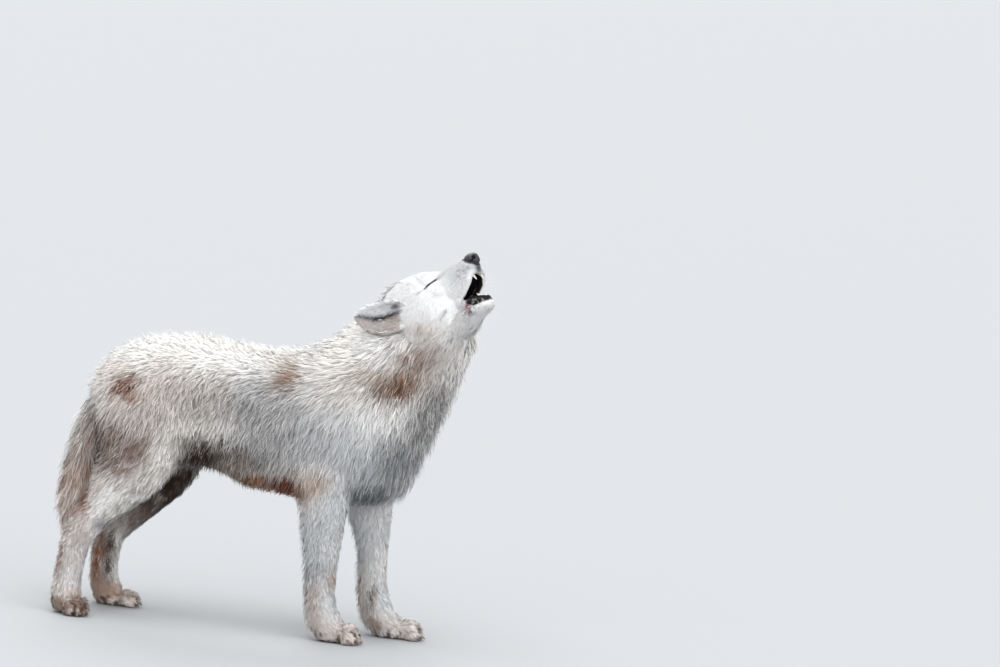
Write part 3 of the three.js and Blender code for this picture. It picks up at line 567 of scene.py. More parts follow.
def sculpt(points, normals):
    """Folds and hollows of the face, as moves along the normal, in the head's own frame."""
    q = in_head(points)
    f, l, u = q.T
    side = np.sign(l)
    l = np.abs(l)
    move = np.zeros(len(q))

    def swell(at, size, by):
        nonlocal move
        d = (np.stack([f, l, u], 1) - np.array(at)) / np.array(size)
        move = move + by * np.exp(-np.einsum("ij,ij->i", d, d))

    swell((24, 30, -14), (17, 9, 10), -3.5)  # beside the bridge, before the eye
    swell((6, 34, -16), (10, 9, 8), -3)  # the inner corner of the eye
    swell((-6, 0, 34), (34, 6, 14), -2.6)  # the furrow of the brow
    swell((-20, 62, -22), (16, 12, 10), -2)  # under the outer corner
    swell((74, 36, -50), (22, 12, 15), 3.2)  # the pad of the whiskers
    swell((97, 14, -32), (9, 8, 9), 1.5)  # the front of the lip
    swell((52, 30, 0), (30, 9, 7), -1.2)
    swell((30, 44, -92), (8, 14, 6), -2.5)  # the corner of the mouth
    for (f0, u0), (f1, u1), deep in CREASES:
        for t in np.linspace(0, 1, 6):
            swell((f0 + (f1 - f0) * t, 58, u0 + (u1 - u0) * t), (4.5, 26, 4), -deep)
    swell((84, 12, -138), (14, 14, 10), 2)  # the chin
    return points + normals * (move * (side != 0))[:, None]


set_points(head, sculpt(points_of(head), normals_of(head)))
relaxed(head, 1)


def slit_tool(side):
    """A thin almond through the closed lids, which leaves a narrow line of the eye to be seen."""
    rings = 17
    toward = unit(np.array(EYE["toward"]) * [1, side, 1])
    points, faces = [], []
    for t in np.linspace(0, len(EYE_SLIT) - 1, rings):
        f, l, u, half = row_at(EYE_SLIT, t)
        at = np.array([f, side * l, u])
        for out, lift in ((14, half + 0.6), (14, -half - 0.6), (-9, -half * 0.6), (-9, half * 0.6)):
            points.append(from_head(at + toward * out + np.array([0, 0, lift])))
    for r in range(rings - 1):
        for k in range(4):
            a, b = r * 4 + k, r * 4 + (k + 1) % 4
            faces.append([a, b, b + 4, a + 4])
    faces += [[3, 2, 1, 0], [4 * rings - 4, 4 * rings - 3, 4 * rings - 2, 4 * rings - 1]]
    if side < 0:
        faces = [f[::-1] for f in faces]
    return mesh_object("slit", points, faces)


for side in (-1, 1):
    cut(head, slit_tool(side))

# One skin: body, paws and head joined to a single closed surface.
skin = body
for ob in paw_meshes + [head]:
    cut(skin, ob, "UNION")
skin.name = skin.data.name = "skin"
f, l, u = in_head(points_of(skin)).T
rim = step(-108, -132, u + 0.25 * np.maximum(f, 0)) * step(70, 40, f) * step(-240, -200, u)
rim = np.maximum(rim, step(-100, -135, f) * step(60, 20, u)) * step(-250, -200, f)
relaxed(skin, 60, rim * np.where((np.abs(l) > 62) & (u > -105), 0, 1) * (np.abs(l) < 150))
applied(skin, "DECIMATE", ratio=KEPT_FACES)
skin.data.shade_smooth()

# ---- Camera, light and floor ----

camera = bpy.data.objects.new("camera", bpy.data.cameras.new("camera"))
bpy.context.scene.collection.objects.link(camera)
bpy.context.scene.camera = camera
ELEVATION, DISTANCE, TARGET = math.radians(6), 12, (0.5344, 0, 0.8082)
ROLL = math.asin(0.114)  # the slope that the wolf of the photo stands on
camera.data.lens, camera.data.sensor_width = 172.8, 36
camera.data.clip_end = 500
look = Vector((0, math.cos(ELEVATION), -math.sin(ELEVATION)))
right, up = Vector((1, 0, 0)), Vector((0, math.sin(math.radians(6)), math.cos(math.radians(6))))
right, up = right * math.cos(ROLL) + up * math.sin(ROLL), up * math.cos(ROLL) - right * math.sin(ROLL)
place = Matrix((right, up, -look)).transposed().to_4x4()
place.translation = Vector(TARGET) - look * DISTANCE
camera.matrix_world = place


def principled(name, colour=(0.8, 0.8, 0.8), rough=0.6, **settings):
    mat = bpy.data.materials.new(name)
    mat.use_nodes = True
    shader = mat.node_tree.nodes["Principled BSDF"]
    shader.inputs["Base Color"].default_value = (*colour, 1)
    shader.inputs["Roughness"].default_value = rough
    for key, value in settings.items():
        shader.inputs[key.replace("_", " ")].default_value = value
    return mat, shader


corners = [[x * 150e3, y * 150e3, -1] for x, y in ((-1, -1), (1, -1), (1, 1), (-1, 1))]
floor = mesh_object("floor", corners, [[0, 1, 2, 3]])
floor.data.materials.append(principled("floor", (0.37, 0.38, 0.39), 0.9)[0])

world = bpy.data.worlds.new("studio")
bpy.context.scene.world = world
world.use_nodes = True
world.node_tree.nodes["Background"].inputs["Color"].default_value = (0.95, 0.97, 1.0, 1)
world.node_tree.nodes["Background"].inputs["Strength"].default_value = 0.8
LAMPS = [
    # name, strength, width in degrees, which way it shines
    ("key", 2.1, 50, (0.05, 0.2, -1)),
    ("front", 1.35, 70, (0.15, 1, -0.35)),
    ("side", 1.1, 60, (-0.9, 0.35, -0.4)),
    ("rim", 1.1, 40, (0.2, -0.8, -0.8)),
]
for name, energy, spread, way in LAMPS:
    lamp = bpy.data.objects.new(name, bpy.data.lights.new(name, "SUN"))
    lamp.data.energy, lamp.data.angle = energy, math.radians(spread)
    lamp.rotation_euler = Vector(way).to_track_quat("-Z", "Y").to_euler()
    bpy.context.scene.collection.objects.link(lamp)

bpy.context.scene.view_settings.view_transform = "Standard"

# ---- Markings and painted shade: the coat's colour at a place, the same for skin and tufts ----

WHITE, CREAM, COOL = (249, 247, 244), (238, 230, 221), (206, 210, 214)
MARKINGS_AND_SHADE = [
    # x, z of the middle, half length, half height, lean in degrees, colour, strength, which side it is on (0 both)
    (-200, 585, 165, 54, -4, (194, 185, 178), 0.8, 0),
    # painted shade: grey on the middle of the flank and on the shoulder, the sides darker as they turn from the light
    # above
    (10, 540, 110, 110, 0, (170, 168, 168), 0.85, 0),
    (130, 545, 80, 110, 0, (186, 188, 190), 0.55, 0),
    (-368, 440, 80, 86, 12, (142, 122, 112), 0.95, 0),
    (-310, 520, 60, 54, 0, (188, 178, 172), 0.6, 0),
    (-360, 590, 70, 50, 0, (204, 186, 174), 0.55, 0),
    (-115, 457, 130, 36, -8, (112, 101, 94), 1.0, 0),
    (60, 420, 90, 34, 0, (176, 166, 158), 0.6, 0),
    # painted shade: grey down the front of the chest, dark grey under it between the forelegs, and grey on its side
    (322, 505, 58, 100, -20, (128, 132, 135), 0.85, 0),
    (262, 392, 60, 40, 0, (78, 80, 80), 1.0, 0),
    (220, 480, 70, 70, 0, (186, 190, 192), 0.5, 0),
    (388, 632, 34, 90, -18, (132, 130, 129), 0.8, 0),
    (-370, 592, 36, 14, 30, (116, 72, 52), 1.1, 0),
    (-352, 572, 22, 10, -30, (138, 100, 80), 0.8, 0),
    (-26, 390, 60, 22, 0, (158, 114, 78), 1.15, 0),
    (52, 386, 44, 30, 0, (100, 42, 6), 1.5, 0),
    (-90, 408, 60, 20, -10, (122, 96, 74), 0.95, 0),
    # the groin: brown coat, and painted shade in the fold between thigh and belly
    (-180, 425, 44, 42, -30, (50, 26, 9), 1.3, 0),
    (295, 672, 48, 31, 10, (102, 56, 22), 1.25, 0),
    (262, 694, 60, 20, 12, (172, 146, 126), 0.6, 0),
    (335, 716, 46, 44, 25, (150, 118, 98), 0.75, 0),
    (368, 762, 56, 34, 30, (168, 140, 124), 0.5, 0),
    (200, 655, 80, 34, 24, (214, 200, 188), 0.4, 0),
    (70, 716, 60, 22, 10, (184, 184, 182), 0.8, 0),
    (34, 648, 40, 26, 20, (150, 122, 102), 0.88, 0),
    (-60, 600, 60, 34, 20, (170, 170, 172), 0.5, 0),
    (-270, 335, 80, 80, 40, (110, 84, 68), 0.85, 1),
    (-250, 300, 110, 60, 50, (50, 33, 23), 1.1, 1),
    (-330, 240, 60, 60, 40, (120, 104, 96), 0.75, 1),
    (-408, 112, 18, 115, 0, (146, 92, 60), 0.92, 1),
    (-385, 130, 14, 95, 0, (82, 65, 56), 0.92, 1),
    (-375, 40, 50, 24, 0, (140, 98, 76), 0.75, 1),
    (288, 108, 8, 34, -5, (80, 54, 42), 0.95, 1),
    (300, 45, 9, 24, 37, (84, 58, 46), 0.95, 1),
    (306, 124, 9, 10, 0, (166, 170, 180), 0.25, 1),
    (258, 90, 12, 80, 0, (208, 188, 172), 0.55, 1),
    (188, 163, 14, 24, 0, (182, 150, 128), 0.75, -1),
    (150, 110, 24, 60, 0, (204, 184, 172), 0.6, -1),
    (155, 190, 34, 15, 0, (166, 164, 168), 0.6, -1),
    (160, 240, 60, 120, 0, (200, 203, 205), 0.4, -1),
    (-488, 150, 13, 56, 0, (168, 126, 102), 0.85, -1),
    (-450, 140, 44, 100, 0, (192, 187, 186), 0.55, -1),
    (-395, 240, 18, 16, 0, (146, 146, 156), 0.65, -1),
    (-455, 24, 64, 30, 0, (80, 48, 32), 1.0, -1),
    (-480, 330, 60, 150, 0, (184, 160, 146), 0.8, 0),
    (-464, 466, 36, 60, 0, (138, 126, 120), 0.75, 0),
    (-436, 370, 14, 130, 0, (138, 96, 76), 0.85, 0),
    (118, 405, 40, 34, 0, (196, 172, 152), 0.6, 0),
]
DUSKY = [
    # x, z of the middle, half length, half height, share of the tufts that are dark
    (-120, 590, 90, 44, 0.3),
    (-210, 560, 70, 60, 0.12),
    (20, 640, 60, 40, 0.22),
    (0, 520, 160, 90, 0.12),
    (-175, 430, 80, 60, 0.25),
    (250, 690, 120, 60, 0.16),
    (-250, 290, 120, 100, 0.45),
    (-330, 240, 70, 70, 0.4),
    (-370, 130, 30, 100, 0.2),
    (160, 190, 40, 24, 0.12),
    (388, 779, 44, 34, 0.24),
    (342, 746, 60, 34, 0.22),
]


def coat_colour(p):
    """The colour of the coat in linear light at points in millimetres: its markings, with painted shade on the lower
    flank, shoulder, chest and groin.
    """
    x, y, z = p.T
    # the white turns cooler and greyer lower on the flank: partly the coat's tone, partly painted shade on the lower
    # sides
    cool = 0.7 * step(640, 430, z) * step(-150, 60, x)
    colour = linear(WHITE) + (linear(COOL) - linear(WHITE)) * np.clip(cool, 0, 1)[:, None]
    cream = step(-0.2, 0.6, noise(p, 90, 3)) * 0.4
    colour = colour + (linear(CREAM) - colour) * cream[:, None]
    wobble = np.stack([noise(p, 34, 5), noise(p, 34, 6)], 1) * 0.3
    streak = noise(p * np.array([1, 1, 0.45]), 9, 8)
    inner = np.where(z > 70, step(106, 88, y), 1)  # the inner sides of the far legs
    back = np.where(z > 420, step(8, 30, np.abs(y)), 1)
    middle = np.where(x > 240, 1 - 0.45 * step(55, 20, np.abs(y)), back)
    for px, pz, length, height, lean, rgb, strength, side in MARKINGS_AND_SHADE:
        c, s = math.cos(math.radians(lean)), math.sin(math.radians(lean))
        u, v = ((x - px) * c + (z - pz) * s) / length, ((z - pz) * c - (x - px) * s) / height
        d = (u + wobble[:, 0]) ** 2 + (v + wobble[:, 1]) ** 2
        share = np.exp(-0.9 * d**1.5) * strength * np.clip(1 + 0.7 * streak, 0, 1.4)
        if side == 0:
            share = share * (1 - 0.4 * step(0, 60, y)) * middle
        else:
            share = share * (step(-10, 10, side * y) * (1 if side < 0 else inner)) * middle
        colour = colour + (linear(rgb) - colour) * np.clip(share, 0, 1)[:, None]
    feet = step(100, 40, z) * 0.4 * np.clip(1 + 0.5 * streak, 0, 1.5)
    colour = colour + (linear((224, 202, 186)) - colour) * feet[:, None]
    colour = toe_colour(p, colour)
    head = np.flatnonzero((x > 120) & (z > 660))
    if len(head):
        colour[head] = face_colour(p[head], colour[head])
    return colour


def toe_colour(p, colour):
    """Brown between the toes and under the paws."""
    low = np.flatnonzero(p[:, 2] < 60)
    if not len(low):
        return colour
    which, local = paw_frame(p[low])
    length, width = np.array([[row[3], row[4]] for row in PAWS.values()])[which].T
    across = local[:, 1] / width
    gap = np.min(np.abs(across[:, None] - np.array([-0.235, 0, 0.235])), axis=1)
    fore = step(0.12, 0.3, local[:, 0] / length)
    z, mottle = p[low, 2], step(0.1, 0.55, noise(p[low], 12, 9))
    # brown in the gaps between the toes: partly stained coat, partly painted shade between them
    share = step(0.1, 0.03, gap) * fore * step(46, 34, z) * 0.9
    share = np.maximum(share, step(13, 3, z) * 0.8)
    share = np.maximum(share, mottle * step(48, 20, z) * (0.55 + 0.35 * (local[:, 0] < 0)))
    colour[low] = colour[low] + (linear((80, 54, 42)) - colour[low]) * share[:, None]
    return colour


def paw_frame(root):
    """The nearest paw to each point, and the point's place in that paw's frame."""
    local = np.zeros_like(root)
    which = np.zeros(len(root), int)
    best = np.full(len(root), 1e9)
    for n, (x, y, heading, length, width) in enumerate(PAWS.values()):
        c, s = math.cos(math.radians(heading)), math.sin(math.radians(heading))
        moved = (root - [x, y, 0]) @ np.array([[c, -s, 0], [s, c, 0], [0, 0, 1.0]])
        far = np.hypot(moved[:, 0], moved[:, 1])
        near = far < best
        local[near], which[near], best[near] = moved[near], n, far[near]
    return which, local


def column(rows, x, k):
    rows = np.array(rows, float)
    return np.interp(x, rows[:, 0], rows[:, k])


def form_share(rows, q, grow=0.0):
    """How far outside the form through rows of forward, top, bottom, half width, level the points lie. 1 is on it."""
    f, l, u = q.T
    top, bottom, half, level = (column(rows, f, k) for k in (1, 2, 3, 4))
    middle = bottom + (top - bottom) * level
    reach = np.where(u > middle, top - middle, middle - bottom) + grow
    far = (np.abs(l) / (half + grow)) ** 2.35 + (np.abs(u - middle) / reach) ** 2.2
    return np.where((f > rows[0][0]) & (f < rows[-1][0]), far, 9)


def off_line(at, a, b):
    """How the points lie off the line from a to b, as vectors."""
    t = np.clip((at - a) @ (b - a) / ((b - a) @ (b - a)), 0, 1)
    return at - a - t[:, None] * (b - a)


def mouth_share(q):
    """How far points in the head's frame are on the bare lips or inside the mouth, from 0 to 1."""
    f, l, u = q.T
    l = np.abs(l)
    rim, top = column(LOWER_LIP, f, 1), column(JAW, f, 1)
    hollow = form_share(HOLLOW, q, 3.0)
    # painted shade: the walls of the mouth's hollow and the trough in the jaw are painted near black
    inside = step(1.0, 0.9, hollow) * (u > top - 3) * (f < 104)
    trough = (hollow < 1) * (l < rim - 5) * (u > top - 16) * (f < 80)
    line = np.array(UPPER_LIP, float)[:, :3]
    gap, depth = np.full(len(q), 1e3), np.zeros(len(q))
    at = np.stack([f, l, u], 1)
    for a, b in zip(line[:-1], line[1:]):
        away = off_line(at, a, b)
        inward = unit(np.array([(b - a)[1], -(b - a)[0], 0]))
        far = np.linalg.norm(away, axis=1)
        nearer = far < gap
        gap[nearer], depth[nearer] = far[nearer], (away @ inward)[nearer]
    inside = inside * np.where(gap < 9, step(1.0, 3.2, depth), 1)
    gum = step(1.5, -1.5, l - rim) * step(-18, -15, u - top) * (u < top + 12) * (f > 44) * (f < 90)
    band = column([[48, -108, 0], [56, -120, 0], [72, -124, 0], [90, -127, 0]], f, 1)
    lower = step(0, 4, u - band) * (l > rim - 6) * (u < top + 14) * step(43, 48, f) * step(99, 94, f)
    # the lower lip's dark band, lighter in mottles: partly its own mottling, partly painted highlights of the wet lip
    lower = lower * np.clip(1.05 + 0.5 * noise(q, 4, 41), 0.78, 1)
    return np.maximum(np.maximum(inside, trough), np.maximum(gum, lower))


def neck_share(q):
    """How near points in the head's frame are to the neck."""
    f, l, u = q.T
    below = step(-88, -132, u + 0.3 * np.maximum(f, 0)) * step(60, 0, f)
    return np.maximum(below, step(-90, -130, f) * step(40, -10, u))


def nose_reach(q):
    """How far points in the head's frame are off the nose pad's middle, squared, 1 being just outside the pad."""
    return (((q - NOSE["at"]) / (np.array(NOSE["size"]) + 1.5)) ** 2).sum(1)


def slit_gap(q):
    """The distance of points in the head's frame from the line of the closed lids, as it is seen from the side."""
    near = np.array([1, 0.3, 1])
    line = np.array([[f, l, u] for f, l, u, _ in EYE_SLIT], float) * near
    at = np.stack([q[:, 0], np.abs(q[:, 1]), q[:, 2]], 1) * near
    gap = np.full(len(q), 1e3)
    for a, b in zip(line[:-1], line[1:]):
        gap = np.minimum(gap, np.linalg.norm(off_line(at, a, b), axis=1))
    return gap


ear_grid = np.meshgrid(np.linspace(0, 1, 60), np.linspace(0, 1, 40), indexing="ij")
ear_tree = kd_tree(np.concatenate([ear_skin(side, 2.2)(*ear_grid).reshape(-1, 3) for side in (-1, 1)]))


def on_ears(points):
    """Where points lie on the nearer ear: share along it, share across it, and how far off its inner face."""
    hits = [ear_tree.find(p) for p in points.tolist()]
    index = np.array([h[1] for h in hits], int) % ear_grid[0].size
    return ear_grid[0].ravel()[index], ear_grid[1].ravel()[index], np.array([h[2] for h in hits])


FOLD_SHADOWS = [
    # painted shadow along the folds of the skin behind the mouth: from, to, each forward and height, and how wide
    ((-23, -101), (-3, -91), 3.2),
    ((-22, -138), (10, -136), 3.0),
    ((-36, -148), (-2, -146), 2.6),
    ((24, -114), (6, -122), 3.0),
]


def face_colour(p, colour):
    """The colours at points of the head, from the colours of the coat there."""
    q = in_head(p)
    f, l, u = q.T
    side = np.abs(l)

    def tinge(rgb, share):
        nonlocal colour
        colour = colour + (linear(rgb) - colour) * np.clip(share, 0, 1)[:, None]

    spot = lambda at, size: np.exp(-(((np.stack([f, side, u], 1) - np.array(at)) / np.array(size)) ** 2).sum(1))
    speckle = step(0.15, 0.5, noise(p, 3.6, 21))
    tinge((249, 249, 249), 0.9 * (1 - neck_share(q)))
    tinge((214, 216, 219), 0.6 * step(20, 55, f) * step(-70, -40, u))
    tinge((196, 192, 194), 0.6 * spot((34, 42, -104), (16, 16, 14)))
    warm = np.exp(-(((f + 72) / 36) ** 2) - ((u + 86 + 0.25 * (f + 72)) / 24) ** 2) * step(30, 60, side)
    tinge((216, 200, 190), 0.75 * warm * np.clip(0.8 + 0.9 * noise(p, 14, 27), 0, 1.2))
    # painted shadow: grey lines along the folds of the skin behind the mouth
    for (f0, u0), (f1, u1), wide in FOLD_SHADOWS:
        t = np.clip(((f - f0) * (f1 - f0) + (u - u0) * (u1 - u0)) / ((f1 - f0) ** 2 + (u1 - u0) ** 2), 0, 1)
        off = np.hypot(f - f0 - t * (f1 - f0), u - u0 - t * (u1 - u0)) / wide
        tinge((122, 122, 128), 0.75 * np.exp(-(off**2)) * (side > 26) * np.clip(0.75 + 0.5 * noise(p, 7, 22), 0, 1))
    tinge((206, 202, 202), 0.5 * spot((72, 0, -142), (26, 30, 12)))
    tinge((188, 184, 188), 0.6 * spot((34, 22, 4), (26, 20, 11)) * (0.7 + 0.5 * noise(p, 12, 23)))
    tinge((88, 85, 88), 0.8 * spot((92, 18, -31), (10, 12, 7)))
    tinge((58, 55, 58), 0.95 * spot((107, 0, -38), (11, 15, 15)))
    tinge((156, 154, 158), 0.6 * spot((84, 26, -34), (16, 14, 18)))
    tinge((66, 63, 66), 0.95 * speckle * spot((82, 34, -38), (19, 16, 19)))
    tinge((104, 100, 104), 0.75 * speckle * spot((70, 30, -128), (20, 16, 8)))
    tinge((120, 117, 120), 0.8 * spot((15, 34, -5), (9, 9, 4)))
    tinge((60, 54, 58), 1.0 * spot((40, 31, -124), (20, 18, 15)) * np.clip(0.75 + noise(p, 5, 26), 0.15, 1.1))
    tinge((148, 34, 46), 1.1 * spot((46, 35, -111), (6, 12, 9)) * np.clip(0.8 + 0.8 * noise(p, 4, 25), 0.2, 1))
    tinge((12, 10, 11), step(3.4, 2, slit_gap(q)))
    crease = ((f + 30) / 8) ** 2, ((side - 71) / 10) ** 2, ((u + 15 - (f + 30) * 0.2) / 2) ** 2
    tinge((84, 78, 80), 0.7 * np.exp(-crease[0] - crease[1] - crease[2]))
    # near black on the bare lips and gums, the wolf's dark skin, and over the walls inside the mouth, where it is
    # painted shade
    tinge((8, 6, 7), mouth_share(q))
    tinge((44, 41, 43), step(1.3, 1.05, nose_reach(q)))
    i, w, off = on_ears(p)
    inside = step(4.2, 2.6, off) * step(0.1, 0.2, i)
    rim = np.minimum(step(0, 0.12, w), step(1, 0.93, w)) * step(1, 0.93, i)
    hairs = noise(p @ HEAD_TURN * np.array([0.3, 1, 1]), 3.2, 12)
    middle = np.interp(i, [0.2, 0.286, 0.43, 0.5, 0.571, 0.714, 0.857], [0.6, 0.56, 0.5, 0.47, 0.5, 0.56, 0.62])
    upper = step(0, 0.1, w - middle)
    tinge((244, 245, 247), inside * rim * 0.9 * upper)
    tinge((126, 127, 132), inside * rim * upper * step(0.3, 0.7, hairs) * step(0.9, 0.6, i) * 0.65)
    tinge((250, 250, 250), inside * step(0.72, 0.92, w) * 0.8)
    tinge((170, 161, 158), inside * (1 - upper) * 0.85)
    tinge((170, 150, 140), inside * (1 - upper) * step(0.2, 0.7, noise(p, 9, 24)) * step(0.75, 0.5, i) * 0.6)
    # painted shade: a grey band and a near black line along the fold across the inner ear
    shade = np.exp(-(((w - middle - 0.05) / 0.12) ** 2)) * step(0.99, 0.85, i) * step(0.3, 0.5, i)
    tinge((118, 120, 126), inside * rim * shade * 0.9)
    dark = np.exp(-(((w - middle) / 0.075) ** 2)) * step(0.98, 0.8, i)
    tinge((18, 17, 19), inside * rim * dark * np.interp(i, [0.18, 0.28, 0.5, 0.6, 0.95], [0.3, 1.0, 1.0, 0.4, 0.4]))
    tinge((66, 66, 70), inside * np.exp(-(((i - 0.23) / 0.07) ** 2) - ((w - 0.8) / 0.13) ** 2) * (1.0 + 0.4 * hairs))
    return colour


def grained(name, rough, scale, bump, share=(0.92, 1.06), depth=0.001, colours=None, texture="Noise", **settings):
    """A material whose colour, painted on the points or running between two colours, varies with a fine grain."""
    mat, shader = principled(name, rough=rough, **settings)
    nodes, links = mat.node_tree.nodes, mat.node_tree.links
    where = nodes.new("ShaderNodeTexCoord")
    grain = nodes.new("ShaderNodeTexNoise" if texture == "Noise" else "ShaderNodeTexVoronoi")
    grain.inputs["Scale"].default_value = scale
    links.new(where.outputs["Object"], grain.inputs["Vector"])
    height = grain.outputs["Fac" if texture == "Noise" else "Distance"]
    if colours:
        mix = nodes.new("ShaderNodeMix")
        mix.data_type = "RGBA"
        links.new(height, mix.inputs["Factor"])
        for socket, rgb in zip(("A", "B"), colours):
            next(i for i in mix.inputs if i.name == socket and i.type == "RGBA").default_value = (*linear(rgb), 1)
        tint = next(o for o in mix.outputs if o.type == "RGBA")
    else:
        painted = nodes.new("ShaderNodeVertexColor")
        painted.layer_name = "tint"
        shade = nodes.new("ShaderNodeMapRange")
        shade.inputs["To Min"].default_value, shade.inputs["To Max"].default_value = share
        links.new(height, shade.inputs["Value"])
        scaled = nodes.new("ShaderNodeVectorMath")
        scaled.operation = "SCALE"
        links.new(painted.outputs["Color"], scaled.inputs[0])
        links.new(shade.outputs["Result"], scaled.inputs["Scale"])
        tint = scaled.outputs["Vector"]
    links.new(tint, shader.inputs["Base Color"])
    dents = nodes.new("ShaderNodeBump")
    dents.inputs["Strength"].default_value = bump
    dents.inputs["Distance"].default_value = depth
    links.new(height, dents.inputs["Height"])
    links.new(dents.outputs["Normal"], shader.inputs["Normal"])
    return mat


def paint(ob, colours):
    layer = ob.data.color_attributes.new("tint", "FLOAT_COLOR", "POINT")
    layer.data.foreach_set("color", np.concatenate([colours, np.ones((len(colours), 1))], 1).astype(np.float32).ravel())


def piece(ob, slot, mat, *replaced):
    """A finished piece, which rides on the body and may stand for nodes of the solids."""
    ob.data.materials.clear()
    ob.data.materials.append(mat)
    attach(ob, "root")
    if replaced:
        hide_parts(*replaced)


# ---- The coat: tapered tufts that lie along the skin ----

tree = BVHTree.FromObject(skin, bpy.context.evaluated_depsgraph_get())
corner = np.array([p.vertices[0] for p in skin.data.polygons])
smooth_normals = normals_of(skin)
TUFTS = {
    # how many each part gets
    "trunk": 180000, "tail": 24000, "hindleg": 40000, "foreleg": 30000, "head": 104000, "ears": 19000, "paws": 46000,
}
density = 1.0
ROOT_REACH = 7  # how far off the skin a form may lie and still grow a tuft
MOST_FACES = 195000  # in one piece of the coat
COAT_BOX = [-532, -200, FLOOR_GAP], [525, 200, 1100]  # how far stray tufts may reach
FUR = grained("fur", 0.75, 180, 0.12, Specular_IOR_Level=0.15, Sheen_Weight=0.07, Sheen_Roughness=0.5)
ATLAS = {
    # part: left, bottom, width, height on the coat's own map
    "trunk": (0.01, 0.01, 0.6, 0.48), "tail": (0.64, 0.01, 0.34, 0.18), "skull": (0.64, 0.22, 0.34, 0.27),
    "foreleg_right": (0.01, 0.52, 0.22, 0.24), "foreleg_left": (0.26, 0.52, 0.22, 0.24),
    "hindleg_right": (0.51, 0.52, 0.22, 0.24), "hindleg_left": (0.76, 0.52, 0.22, 0.24),
    "muzzle": (0.01, 0.79, 0.24, 0.19), "jaw": (0.27, 0.79, 0.16, 0.19),
    "ear_right": (0.45, 0.79, 0.12, 0.19), "ear_left": (0.59, 0.79, 0.12, 0.19), "paws": (0.73, 0.79, 0.25, 0.19),
}


def settled(roots):
    """The nearest places on the skin to the points, with the normals there, and which of them are near enough."""
    found = np.empty((len(roots), 3))
    normal = np.empty((len(roots), 3))
    near = np.zeros(len(roots), bool)
    for i, p in enumerate((roots / 1000).tolist()):
        place, _, face, far = tree.find_nearest(p)
        near[i] = far * 1000 < ROOT_REACH
        found[i] = place
        normal[i] = smooth_normals[corner[face]]
    return found * 1000, normal, near


def scatter(part, count, lie, start=0.0, end=None, weight=None):
    """Roots spread over a part of the skin: places, normals, the coat's way there, and their places on the map.
    lie gives the way as shares along the part and round it, or as a direction in the world, at s and a."""
    surface, last = SKINS[part]
    end = end or last
    rows, columns = 260, 160
    s, a = np.meshgrid(np.linspace(start, end, rows), np.linspace(-math.pi, math.pi, columns), indexing="ij")
    p = surface(s, a)
    area = np.linalg.norm(np.cross(p[1:, :-1] - p[:-1, :-1], p[:-1, 1:] - p[:-1, :-1]), axis=-1)
    if weight is not None:
        area = area * weight(s[:-1, :-1])
    cell = np.searchsorted(np.cumsum(area.ravel()) / area.sum(), rng.random(count))
    i, k = np.divmod(np.minimum(cell, area.size - 1), columns - 1)
    s = start + (i + rng.random(count)) / (rows - 1) * (end - start)
    a = -math.pi + (k + rng.random(count)) / (columns - 1) * (2 * math.pi)
    h = 0.01 * (end - start) / 10
    along = unit(surface(s + h, a) - surface(s - h, a))
    round_ = unit(surface(s, a + 0.01) - surface(s, a - 0.01))
    roots, normal, near = settled(surface(s, a))
    told = lie(s, a)
    way = np.stack(told, 1) if len(told) == 3 else along * told[0][:, None] + round_ * told[1][:, None]
    u0, v0, du, dv = ATLAS[part]
    share = (a + math.pi) / (2 * math.pi)
    uv = np.stack([u0 + du * (s - start) / (end - start), v0 + dv * share], 1)
    return {"root": roots[near], "normal": normal[near], "way": way[near], "uv": uv[near], "s": s[near], "a": a[near]}


